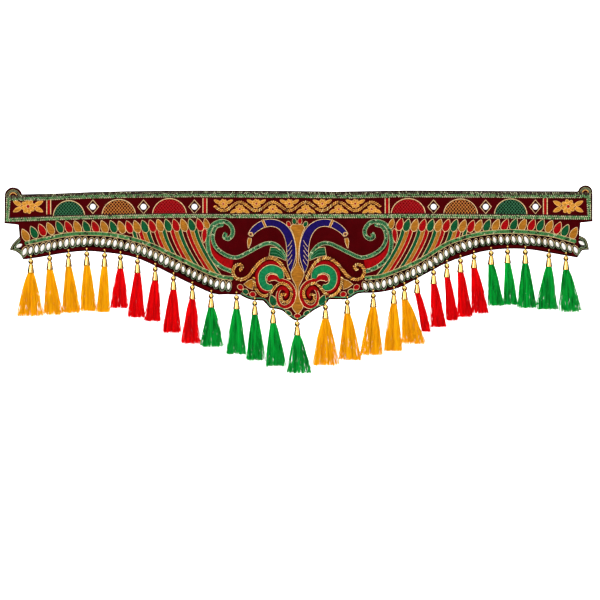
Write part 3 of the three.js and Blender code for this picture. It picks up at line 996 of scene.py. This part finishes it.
def sew_stones():
    """Ribbons, stones and their looped settings, and the loose stone on each wing."""
    ribbons = Needlework("stone trim")
    arch = [(-4.2, -3.5), (-4.6, 1.0), (-3.6, 5.2), (0, 8.8), (3.6, 5.2), (4.6, 1.0), (4.2, -3.5)]
    cup = [(-4.1, 0.5), (-4.0, -3.5), (-2.7, -6.9), (0, -8.7), (2.7, -6.9), (4.0, -3.5), (4.1, 0.5)]
    stone = stone_shape()
    back = SEWN_FACE + RIBBON_THICKNESS / 2
    margin = round(STONE["margin"])
    for number, side in enumerate(("left", "right"), 1):
        way = -1 if side == "left" else 1
        line = smooth(trim_line(side), 6.0)
        ribbons.strip("dark ribbon", beside(line, RIBBON_WIDTH / 2), beside(line, -RIBBON_WIDTH / 2), 0.7)
        trimmed = smooth(line, 1.0)[margin:-margin]
        before = trimmed[0] - (trimmed[1] - trimmed[0]) * STONE["pitch"]
        after = trimmed[-1] + (trimmed[-1] - trimmed[-2]) * (1.0 if side == "left" else 8.0)
        trimmed = np.vstack([before, trimmed, after])
        pitch = length_of(trimmed) / (STONES_IN_TRIM - 1) * 0.9995
        hung = {"follow": 0.0, "lean": way * STONE["lean"], "sway": 0.3, "uneven": 0.16, "seed": number}
        sew_row(f"stones {side}", "stone", [(trimmed, False, 1.0, back)], stone, pitch,
                replaced=[f"stone_trim_{side}", f"wing_stone_{side}"], **hung)
        for label, loop, thick in (("thread_cord", arch, 0.7), ("sage cord", cup, 1.15)):
            shape = cords("loop", label, [(smooth(loop, 2.2), False, thick, 0.0)])
            run = [(trimmed, False, 1.0, back + 0.6)]
            sew_row(f"settings {label} {side}", label, run, shape, pitch, **hung)
            bpy.data.meshes.remove(shape)
        x, z, turn = WING_STONES[side]
        single = stone.copy()
        place = Matrix.Translation(Vector((x, 0.3 - SEWN_FACE, z)) * MM)
        single.transform(place @ Matrix.Rotation(math.radians(-turn), 4, "Y"))
        piece(f"wing stone {side}", single, "stone")
        ribbons.pad("dark ribbon", WINGS[side], 0.3)
        for share, label in ((0.82, "olive cord"), (0.62, "sage cord")):
            nested = shrunk(WINGS[side], x + way * -6.0, z + 0.5, share)
            ribbons.cord(label, smooth(nested, 2.5), 1.6, lift=0.3)
    ribbons.make()


def half_round(x, z, wide, high, margin, count):
    """An arc over a place, from one side to the other."""
    angles = np.linspace(margin, math.pi - margin, count)
    return [(x + wide * math.cos(t), z + high * math.sin(t)) for t in angles]


def fill_dome(work, x, half, foot, top, colour):
    """A dome's ground, its outline and the lattice on it."""
    ground, lattice, thick = {
        "green": ("dark green", "lattice green", 0.75),
        "gold": ("dark thread", "lattice gold", 0.85),
        "red": ("dark red", "red cord", 0.95),
    }[colour]
    high = top - foot
    arc = half_round(x, foot, -half, high, 0.03, 19)
    work.pad(ground, arc, 0.3)
    work.cord("thread_cord", arc, 1.5)
    for way in (1, -1):
        for offset in np.arange(-LATTICE["reach"], LATTICE["reach"], LATTICE["pitch"]):
            ends = []
            for share in np.linspace(-1, 1, 61):
                px = share * half
                pz = way * LATTICE["slope"] * px + offset
                if pz > 0.8 and (px / (half - 1)) ** 2 + (pz / (high - 1)) ** 2 < 1:
                    ends.append((x + px, foot + pz))
            if len(ends) > 2:
                work.cord(lattice, [ends[0], ends[-1]], thick, lift=0.2)


def decorate_header():
    """Domes, mirror diamonds, bars, corner arcs and the gold ornament of the header strip."""
    work = Needlework("header")
    for dome in DOMES:
        fill_dome(work, *dome)
    for x in MIRROR["x"]:
        z, high, wide = MIRROR["z"], MIRROR["high"], MIRROR["wide"]
        diamond = [(x, z + high), (x + wide, z), (x, z - high), (x - wide, z)]
        work.pad("dark thread", shrunk(diamond, x, z, 0.8), 0.3)
        work.cord("thread_cord", diamond, 1.5, closed=True)
    for x in BARS["x"]:
        work.band("thread_red", [(x, z, BARS["width"]) for z in BARS["z"]])
        for side in (-1, 1):
            work.cord("thread_cord", [(x + side * BARS["rail"], z) for z in BARS["z"]], 1.7)
    for x, z, radius in TABS.values():
        for share, label, width in (
            (0.76, "olive cord", 1.5), (0.6, "sage cord", 1.3), (0.42, "gold cord", 1.5),
        ):
            work.cord(label, half_round(x, z - 1.0, radius * share, radius * share, 0.15, 15), width)
    wave = [
        (x, HEADER_MIDDLE + WAVE["height"] * math.sin((x - WAVE["start"]) * 2 * math.pi / WAVE["length"]))
        for x in np.arange(WAVE["from"], WAVE["to"], 3.5)
    ]
    work.rope(smooth(wave, 0.9), 5.4)
    for number, x in enumerate(np.arange(-127.5, 130, WAVE["length"] / 2)):
        way = 1 if number % 2 else -1
        blossom(work, x, HEADER_MIDDLE - way * 4.6, 7.6)
        for side in (-1, 1):
            z = HEADER_MIDDLE - way * 8.4
            leaf = placed(teardrop(11, 5.2), x + side * 11.0, z, -side * (90 + 28 * way))
            work.pad("bright gold", leaf, 1.2, turn=40, edge="gold cord")
    for x in END_BLOSSOMS:
        blossom(work, x, HEADER_MIDDLE, 11.8)
        for side in (-1, 1):
            for up in (-1, 1):
                angle = -side * (62 if up > 0 else 118)
                leaf = placed(teardrop(15, 7), x + side * 18.5, HEADER_MIDDLE + up * 5.5, angle)
                work.pad("bright gold", leaf, 1.2, turn=30, edge="gold cord")
    work.make()


def blossom(work, x, z, radius):
    """A round flower of eight gold petals with a red middle."""
    for i in range(8):
        angle = math.radians(45 * i + 12)
        spot = (x - radius * 0.6 * math.sin(angle), z + radius * 0.6 * math.cos(angle))
        petal = placed(teardrop(radius * 0.85, radius * 0.52), *spot, math.degrees(angle) + 180)
        work.pad("bright gold", petal, 1.1, turn=45 * i, edge="gold cord")
    heart = placed(oval(radius * 0.5, radius * 0.5, 12), x, z)
    work.pad("thread_red", heart, 1.6, lift=0.2, edge="thread_cord")


def sew_petals():
    """The petal row below the header, and the feather stripes under its inner end."""
    work = Needlework("petals")
    for side in (-1, 1):
        table = np.array(PETALS["left" if side < 0 else "right"], float).T
        for i, colour in enumerate(PETAL_COLOURS):
            out, z = (float(np.interp(i, table[0], row)) for row in table[1:])
            size = (22.5, 12.4) if i < 22 else (18.0, 9.5)
            petal = placed(teardrop(*size), AXIS + side * out, z, 27 - 0.45 * i, -side)
            work.pad(PETAL_THREADS[colour], petal, 1.3, turn=side * 20, lift=0.35, edge="thread_cord")
    for side in (-1, 1):
        for group in range(4):
            start = FEATHERS["first"] - FEATHERS["pitch"] * group
            for label, outer, inner in FEATHER_STRIPES:
                feather(work, side, label, start - outer, start - inner)
        feather(work, side, "thread_green", 281.5, 275)
        drop = placed(teardrop(25, 9), across(side, 158.2), -76.5, 185, side)
        work.pad("thread_red", drop, 1.1, turn=10, edge="thread_cord")
    work.make()


def feather_line(side, start):
    """One side of a feather stripe, from under the petals to the lower braid."""
    points = []
    for down in np.arange(0.0, FEATHERS["longest"], 1.5):
        x = across(side, start - FEATHERS["lean"] * down - FEATHERS["sweep"] * down ** 1.5)
        z = FEATHERS["top"] - down
        points.append((x, z))
        if z < braid_height(x) + 2.2:
            break
    return points


def picked(line, count):
    """A number of a line's points, evenly chosen from end to end."""
    return [line[round(i * (len(line) - 1) / (count - 1))] for i in range(count)]


def feather(work, side, label, outer, inner):
    """A feather stripe between its two sides, which are corded."""
    left, right = (smooth(feather_line(side, start), 2.0) for start in (outer, inner))
    work.strip(label, picked(left, 24), picked(right, 24), 1.0)
    work.cord("thread_cord", left)
    work.cord("thread_cord", right)


# Lines of the middle, drawn for one side: distance from the middle, height and, for a filling, its width.
NECK = [
    (80.5, -75.5, 8), (76, -69, 10), (69, -62.5, 11.5), (57.5, -56, 12), (43.5, -54.2, 12),
    (30.5, -58, 12.5), (19.8, -68, 14), (13.2, -83, 15), (10.6, -100, 15.5), (11, -114, 14.5),
    (12, -127, 9.5), (11.8, -138, 1.5),
]
SCROLL = [
    (112, -136.5), (127, -130.5), (139, -121.5), (147.5, -110.5), (151.5, -97), (152.3, -82.5),
    (149.5, -67), (142, -56.5), (129, -51.5), (117.5, -55), (110.5, -65), (111.2, -75.5), (118, -81.5),
    (124.3, -78), (122, -72.5),
]
VINE = [
    (127, -57.5), (137.5, -60.5), (142.8, -70), (143.8, -82.5), (138.5, -95.5), (127.5, -105.5),
    (113.5, -112), (101, -112.5), (83, -104), (67.5, -95.5), (55.5, -90), (44.5, -88.8), (34, -93.2),
    (25, -103.5), (20.5, -114),
]
ROPE = [
    (97.5, -134), (93.5, -129.5), (98.5, -125), (106, -128), (109.5, -138), (105, -147.5), (95, -150.5),
    (84, -145.5), (75.5, -135), (66, -123.5), (54.5, -115.5), (42, -114.3), (30, -122), (21.5, -135),
    (14.5, -149),
]
COIL = [
    (74, -148), (72.5, -161), (66, -173), (55, -178.5), (44, -171.5), (37.5, -163), (28.5, -157),
    (18.5, -159.8), (10.6, -169.5), (11, -180), (16.8, -188), (24, -188.5), (28, -183), (26.5, -176),
    (21, -176.5),
]
RED_RIM = [
    (17, -146, 1.5), (23.5, -135, 4), (33.5, -125, 5.5), (46, -121, 6), (59.5, -125.5, 6), (68, -137.5, 6),
    (68.8, -152, 5.5), (64.5, -163.5, 5.5), (56, -171, 5), (47, -172.5, 2),
]
COMMA = [
    (27, -149, 9), (31.5, -137, 13), (46, -132.5, 14), (58, -139.5, 13), (60.2, -151, 12.5),
    (56, -161, 12.5), (48, -164, 11), (42.5, -161, 6),
]
SWIRL = [
    (50, -153, 5), (46, -147.5, 11), (37, -147.5, 9), (27.5, -152.5, 8), (16.5, -156.5, 8),
    (7.6, -166.5, 7), (6, -180, 7), (11.2, -192, 7), (21.3, -197, 6.5), (30, -193.5, 6), (34, -183, 5),
    (33, -172.5, 4), (28, -166, 2),
]
SWIRL_HEART = [(33.5, -170, 5), (27, -164.5, 7), (19, -168, 7), (18.5, -177, 6), (21.5, -182, 3)]
BETWEEN_SCROLLS = [
    (147.5, -84, 1.5), (146, -97, 3.5), (140, -108.5, 8), (131, -117.5, 12), (119, -124, 17),
    (110, -126, 17),
]
TAIL = [
    (46, -95.5), (35.5, -96.5), (27, -102), (21.5, -110), (20, -118.5), (31, -113.5), (41, -111),
    (48.5, -110),
]
TAIL_VEINS = ([(45.5, -100.5), (34, -101.5), (21, -114)], [(47, -105.5), (34, -107), (21, -117)])
WEDGE = [(74.5, -149), (76, -167.5), (84, -164.5), (91.5, -158.5), (84, -152.5)]
COLLAR = [(59.5, -49.5, 3.4), (53.8, -62, 3.4)]
BEAK = [(81, -80.5, 5.5), (82, -87, 6), (83.2, -97, 1.2)]
# Fillings of one shape on each side: outline, distance from the middle, height, thread, turn, turn of the
# stitches, and rise.
GEMS = (
    (oval(10.6, 8.8, 12), 97, -163.5, "thread_red", 40, 0, 1.5),
    (oval(10.6, 8.8, 12), 88.2, -171, "thread_green", 32, 0, 1.5),
    (oval(10.6, 8.8, 12), 76, -175.5, "thread_red", 12, 0, 1.5),
    (teardrop(20, 13), 42, -186, "thread_green", -20, 20, 1.2),
    (oval(12, 7.0, 12), 15, -207.5, "thread_green", 38, 0, 1.3),
)
# Fillings of the very middle, at their own distance to the right of it.
CROWN_BEADS = (
    (-15, -56.5, "thread_red", 25), (-5.5, -51.8, "thread_green", 8),
    (4, -51.5, "thread_red", -8), (13.5, -56.5, "thread_green", -25),
)
SPINE = [
    (0, -57.5, 18), (0, -63, 24), (0, -72, 16), (0, -85, 9), (0, -100, 4.5), (0, -118, 3.5), (0, -128, 9),
    (0, -140, 22), (0, -150, 17), (0, -163, 4.5), (0, -176, 3.5), (0, -187, 11), (0, -196, 19),
    (0, -204, 11), (0, -209, 2),
]


def sew_half_centre(work, side):
    """One bird with its scrolls and swirls."""
    rope = settings().rope_width / MM

    def place(rows):
        return mirrored(rows, side)

    work.chain(place(SCROLL), 6.4, 0.3)
    work.chain(place(VINE), 5.8, 0.2)
    work.band("thread_red", place(BETWEEN_SCROLLS))
    work.band("thread_blue", place(NECK), 1.4, edge="thread_cord")
    work.band("thread_gold", place(COLLAR), lift=1.2, edge="thread_cord")
    work.band("thread_gold", place(BEAK), edge="thread_cord")
    eye = (across(side, 79.3), -73.5)
    work.pad("thread_gold", placed(oval(6.4, 6.4), *eye), 0.9, lift=1.0, edge="thread_cord")
    work.pad("thread_blue", placed(oval(2.6, 2.6, 10), *eye), 0.8, lift=2.0)
    for i in range(5):
        z = -90 - 8.2 * i
        out = 17.0 - max(0, i - 3) * 0.6
        work.cord("thread_cord", place([(out, z - 5), (out - 4, z), (out - 7.5, z + 6)]), 0.8, lift=1.4)
    work.pad("thread_green", place(TAIL), turn=70, edge="thread_cord")
    for vein in TAIL_VEINS:
        work.cord("lattice green", smooth(place(vein), 3.0), 1.1, lift=1.0)
    work.band("thread_red", place(RED_RIM), 0.9)
    work.band("bright green", place(COMMA), 1.4, lift=0.2, edge="thread_cord")
    work.band("thread_red", place(SWIRL), 1.1, edge="thread_cord")
    work.band("thread_red", place(SWIRL_HEART), 1.1, lift=0.1)
    work.rope(smooth(place(ROPE), 0.9), rope, lift=0.3)
    work.rope(smooth(place(COIL), 0.9), rope * 0.84, lift=0.6)
    work.pad("thread_gold", place(WEDGE), 1.1, turn=60, edge="thread_cord")
    for outline, out, z, label, turn, stitched, rise in GEMS:
        gem = placed(outline, across(side, out), z, turn, side)
        work.pad(label, gem, rise, turn=stitched, edge="thread_cord")


def sew_centre():
    """The pair of birds, the scrolls and the swirls in the middle."""
    work = Needlework("centre")
    for side in (-1, 1):
        sew_half_centre(work, side)
    work.band("thread_gold", [(AXIS, *point[1:]) for point in SPINE], 1.1, edge="thread_cord")
    for out, z, label, turn in CROWN_BEADS:
        work.pad(label, placed(oval(7.0, 10.0, 14), AXIS + out, z, turn), 1.6, lift=0.3, edge="thread_cord")
    work.pad("thread_red", placed(oval(11, 8, 12), AXIS, -212.5), 1.4, edge="thread_cord")
    work.cord("green cord", beside(smooth(LOWER_EDGE, 3.0), 3.8), 1.7)
    work.make()


def joined_panel():
    """The panel's solid as an editing mesh, its loose triangles joined."""
    work = bmesh.new()
    work.from_mesh(frame["nodes"]["panel"].data)
    bmesh.ops.remove_doubles(work, verts=work.verts, dist=SAME_SPOT)
    return work


def in_face(edge):
    """Whether an edge lies in the cloth's face."""
    return all(abs(corner.co.y + CLOTH_FACE * MM) < SAME_SPOT for corner in edge.verts)


def panel_outline():
    """The front outline of the panel's solid, as one closed row of points in millimetres."""
    work = joined_panel()
    neighbours = {}
    for edge in filter(in_face, work.edges):
        if sum(abs(face.normal.y) > 0.9 for face in edge.link_faces) == 1:
            first, second = edge.verts
            neighbours.setdefault(first.index, []).append(second.index)
            neighbours.setdefault(second.index, []).append(first.index)
    work.verts.ensure_lookup_table()
    loop = [next(iter(neighbours))]
    came_from = None
    while True:
        onwards = [i for i in neighbours[loop[-1]] if i != came_from]
        came_from = loop[-1]
        if onwards[0] == loop[0]:
            break
        loop.append(onwards[0])
    points = [(work.verts[i].co.x / MM, work.verts[i].co.z / MM) for i in loop]
    work.free()
    return points


def cut_panel():
    """The velvet with rounded front edges, from the panel's own outline."""
    mesh = frame["nodes"]["panel"].data.copy()
    work = joined_panel()
    bmesh.ops.dissolve_limit(work, angle_limit=0.02, verts=work.verts, edges=work.edges)
    rim = [edge for edge in work.edges if in_face(edge)]
    bmesh.ops.bevel(work, geom=rim, offset=EDGE_ROUNDING * MM, segments=2, profile=0.5, affect="EDGES")
    bmesh.ops.triangulate(work, faces=[face for face in work.faces if len(face.verts) > 4])
    work.to_mesh(mesh)
    work.free()
    piece("velvet cloth", mesh, "velvet", ["panel"])


def bind_cloth():
    """A thin dark binding round the cloth's face."""
    outline = np.array(panel_outline())
    following = np.roll(outline, -1, axis=0)
    area = (outline[:, 0] * following[:, 1] - following[:, 0] * outline[:, 1]).sum()
    inside = beside(outline, math.copysign(1.0, area))
    rim = cords("cloth binding", "dark thread", [(inside, True, 2.4, CLOTH_FACE - 0.4)], 0.0)
    piece("cloth binding", rim, "dark thread")


def tassel_heads():
    """Each tassel's round bead, and its silk's rim, hem and sides, from the solids in millimetres."""
    found = []
    for number in range(1, 31):
        corners = [v.co / MM for v in frame["nodes"][f"tassel_{number:02d}"].data.vertices]
        top = max(corners, key=lambda corner: corner.z)
        hem = min(corner.z for corner in corners)
        bead = top.z - BEAD_TOP
        tips = [corner.x for corner in corners if corner.z < hem + 8]
        found.append({
            "name": f"tassel_{number:02d}", "x": top.x, "y": top.y, "bead": bead, "rim": bead - CAP_DROP,
            "hem": hem, "left": min(tips), "right": max(tips),
        })
    return found


def turned_metal():
    """Small bead, link, round bead and bell cap of one tassel, turned round their axis."""
    sides = 20
    (_, top), *profile, (_, foot) = METAL_PROFILE
    corners = [
        (radius * math.cos(a), radius * math.sin(a), height)
        for radius, height in profile for a in round_angles(sides)
    ]
    last = len(corners) - sides
    faces = skin(len(profile), sides)
    faces += [(len(corners), i, (i + 1) % sides) for i in range(sides)]
    faces += [(len(corners) + 1, last + (i + 1) % sides, last + i) for i in range(sides)]
    return closed_mesh("metal shape", [*corners, (0, 0, top), (0, 0, foot)], faces)


def head_points(heads, height, **carried):
    """A mesh of one point for each tassel, with numbers that each point carries, in millimetres."""
    points = bpy.data.meshes.new("heads")
    points.from_pydata([Vector((head["x"], head["y"], height(head))) * MM for head in heads], [], [])
    for label, number in carried.items():
        values = [number(head) * MM for head in heads]
        points.attributes.new(label, "FLOAT", "POINT").data.foreach_set("value", values)
    return points


def hang_metal():
    """Beads and bell caps of the thirty tassels."""
    heads = tassel_heads()
    shape = bpy.data.objects.new("metal shape", turned_metal())
    points = head_points(heads, lambda head: head["bead"])
    mesh = grown(point_tree, "Pieces on points", "beads and caps", points, "brass", 3, {"Piece": shape})
    bpy.data.objects.remove(shape)
    piece("beads and caps", mesh, "brass", [head["name"] for head in heads])


def hang_silk():
    """Silk of the thirty tassels, one piece for each run of a colour."""
    heads = tassel_heads()
    sizes = {"Strands": settings().strands, "Strand width": settings().strand_width, **SILK}
    for run, colour in enumerate(TASSEL_COLOURS, 1):
        points = head_points(
            heads[(run - 1) * TASSELS_OF_A_COLOUR:run * TASSELS_OF_A_COLOUR],
            lambda head: head["rim"] + SILK_START,
            half=lambda head: (head["right"] - head["left"]) * 0.55 + 0.6,
            shift=lambda head: (head["right"] + head["left"]) / 2 - head["x"],
            drop=lambda head: head["rim"] + SILK_START - head["hem"],
        )
        name = f"silk {colour} {run}"
        label = f"silk_{colour}"
        piece(name, grown(silk_tree, "Silk strands", name, points, label, run, sizes), label)


def light_world():
    """A studio that glows softly in front and above, and less to the sides and below."""
    world = bpy.data.worlds.new("studio")
    world.use_nodes = True
    work = Nodes(world.node_tree, "ShaderNode")
    background = work.tree.nodes["Background"]
    background.inputs["Color"].default_value = (1, 1, 1, 1)
    direction = work.axes(work.add("TexCoord", out="Generated"))
    glow = 1.0
    for axis, limits in GLOW.items():
        source = work.math("ABSOLUTE", direction[axis]) if axis == "X" else direction[axis]
        ramp = dict(zip(("From Min", "From Max", "To Min", "To Max"), limits))
        glow = work.times(glow, work.add("MapRange", {"Value": source, **ramp}))
    work.tree.links.new(glow, background.inputs["Strength"])
    bpy.context.scene.world = world


def stage_sheet(name, corners, faces, material):
    """A plain pale sheet of the stage. Metal doesn't show it, or its edges would melt into it."""
    mesh = bpy.data.meshes.new(name)
    mesh.from_pydata(corners, [], faces)
    mesh.materials.append(material)
    sheet = linked(name, mesh)
    sheet.visible_glossy = False
    return sheet


def light_stage():
    """Pale floor and backdrop, soft studio light and the camera at the photo's viewing angle."""
    pale = Material("pale stage", {
        "Roughness": 0.9, "Specular IOR Level": 0.0, "Base Color": (0.95, 0.95, 0.95, 1),
    })
    low, wide = FLOOR["height"], FLOOR["reach"]
    ground = [(-wide, -wide, low), (wide, -wide, low), (wide, wide, low), (-wide, wide, low)]
    wall = [
        (BACKDROP["radius"] * math.sin(turn), BACKDROP["radius"] * math.cos(turn), height)
        for turn in map(math.radians, BACKDROP["turns"]) for height in (low, BACKDROP["top"])
    ]
    strips = [(i, i + 1, i + 3, i + 2) for i in range(0, len(wall) - 2, 2)]
    made = [
        stage_sheet("floor", ground, [(0, 1, 2, 3)], pale.data),
        stage_sheet("backdrop", wall, strips, pale.data),
    ]
    for name, (place, target, size, power) in LIGHTS.items():
        lamp = bpy.data.lights.new(name, "AREA")
        lamp.energy = power
        lamp.size = size
        holder = linked(name, lamp)
        holder.location = place
        holder.rotation_euler = (Vector(target) - Vector(place)).to_track_quat("-Z", "Y").to_euler()
        made.append(holder)
    light_world()
    lens = bpy.data.cameras.new("camera")
    lens.sensor_width = CAMERA["sensor"]
    lens.lens = CAMERA["sensor"] * CAMERA["distance"] / CAMERA["frame"]
    camera = linked("camera", lens)
    camera.location = CAMERA["place"]
    camera.rotation_euler = (math.pi / 2, 0, 0)
    bpy.context.scene.camera = camera
    bpy.context.scene.view_settings.view_transform = "Standard"


def sew_up():
    cloth = bpy.data.objects["velvet_cloth"]
    sewn = [made for made in bpy.data.objects if made.get("sewn") and made != cloth]
    carried = ["header_braid", "lower_braid_left", "lower_braid_right", *(f"mirror_{i}" for i in range(1, 7))]
    sewn += [frame["nodes"][node] for node in carried]


class TORAN_OT_cloth(bpy.types.Operator):
    """Cut the velvet cloth"""

    bl_idname = "toran.cloth"
    bl_label = "Velvet cloth"

    def execute(self, context):
        cut_panel()
        return {"FINISHED"}


class TORAN_OT_braid(bpy.types.Operator):
    """Sew on the header frame, the lower braids and the binding"""

    bl_idname = "toran.braid"
    bl_label = "Braids"

    def execute(self, context):
        for node in ("header_braid", "lower_braid_left", "lower_braid_right"):
            dress(frame["nodes"][node], "braid ground")
        stitch_braid()
        bind_cloth()
        return {"FINISHED"}


class TORAN_OT_stones(bpy.types.Operator):
    """Sew on the stone trims and the wing stones"""

    bl_idname = "toran.stones"
    bl_label = "Stones"

    def execute(self, context):
        sew_stones()
        return {"FINISHED"}


class TORAN_OT_mirrors(bpy.types.Operator):
    """Set the header mirrors"""

    bl_idname = "toran.mirrors"
    bl_label = "Mirrors"

    def execute(self, context):
        for number in range(1, 7):
            dress(frame["nodes"][f"mirror_{number}"], "mirror")
        return {"FINISHED"}


class TORAN_OT_header(bpy.types.Operator):
    """Embroider the header strip"""

    bl_idname = "toran.header"
    bl_label = "Header embroidery"

    def execute(self, context):
        decorate_header()
        return {"FINISHED"}


class TORAN_OT_petals(bpy.types.Operator):
    """Embroider the petals and the feather stripes"""

    bl_idname = "toran.petals"
    bl_label = "Petals and feathers"

    def execute(self, context):
        sew_petals()
        return {"FINISHED"}


class TORAN_OT_centre(bpy.types.Operator):
    """Embroider the birds, scrolls and swirls in the middle"""

    bl_idname = "toran.centre"
    bl_label = "Centre embroidery"

    def execute(self, context):
        sew_centre()
        return {"FINISHED"}


class TORAN_OT_metal(bpy.types.Operator):
    """Hang the beads and bell caps"""

    bl_idname = "toran.metal"
    bl_label = "Beads and caps"

    def execute(self, context):
        hang_metal()
        return {"FINISHED"}


class TORAN_OT_silk(bpy.types.Operator):
    """Hang the silk of the tassels"""

    bl_idname = "toran.silk"
    bl_label = "Silk"

    def execute(self, context):
        hang_silk()
        return {"FINISHED"}


class TORAN_OT_sheet(bpy.types.Operator):
    bl_idname = "toran.sheet"
    bl_label = "Hung sheet"

    def execute(self, context):
        sew_up()
        return {"FINISHED"}


class TORAN_OT_stage(bpy.types.Operator):
    """Set up floor, backdrop, light and camera"""

    bl_idname = "toran.stage"
    bl_label = "Stage"

    def execute(self, context):
        light_stage()
        return {"FINISHED"}


STEPS = (
    TORAN_OT_cloth, TORAN_OT_braid, TORAN_OT_stones, TORAN_OT_mirrors, TORAN_OT_header, TORAN_OT_petals,
    TORAN_OT_centre, TORAN_OT_metal, TORAN_OT_silk, TORAN_OT_sheet, TORAN_OT_stage,
)


class TORAN_PT_panel(bpy.types.Panel):
    """Sizes, colours and steps of the door hanging"""

    bl_idname = "TORAN_PT_panel"
    bl_label = "Toran door hanging"
    bl_space_type = "VIEW_3D"
    bl_region_type = "UI"
    bl_category = "Toran"

    def draw(self, context):
        for label in ToranSettings.__annotations__:
            self.layout.prop(context.scene.toran, label)
        for step in STEPS:
            self.layout.operator(step.bl_idname)


CLASSES = (ToranSettings, *STEPS, TORAN_PT_panel)


def register():
    for each in CLASSES:
        bpy.utils.register_class(each)
    bpy.types.Scene.toran = bpy.props.PointerProperty(type=ToranSettings)


def unregister():
    del bpy.types.Scene.toran
    for each in reversed(CLASSES):
        bpy.utils.unregister_class(each)


def main():
    register()
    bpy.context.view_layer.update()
    bpy.ops.toran.cloth()
    bpy.ops.toran.braid()
    bpy.ops.toran.stones()
    bpy.ops.toran.mirrors()
    bpy.ops.toran.header()
    bpy.ops.toran.petals()
    bpy.ops.toran.centre()
    bpy.ops.toran.metal()
    bpy.ops.toran.silk()
    bpy.ops.toran.sheet()
    bpy.ops.toran.stage()


if __name__ == "__main__":
    main()
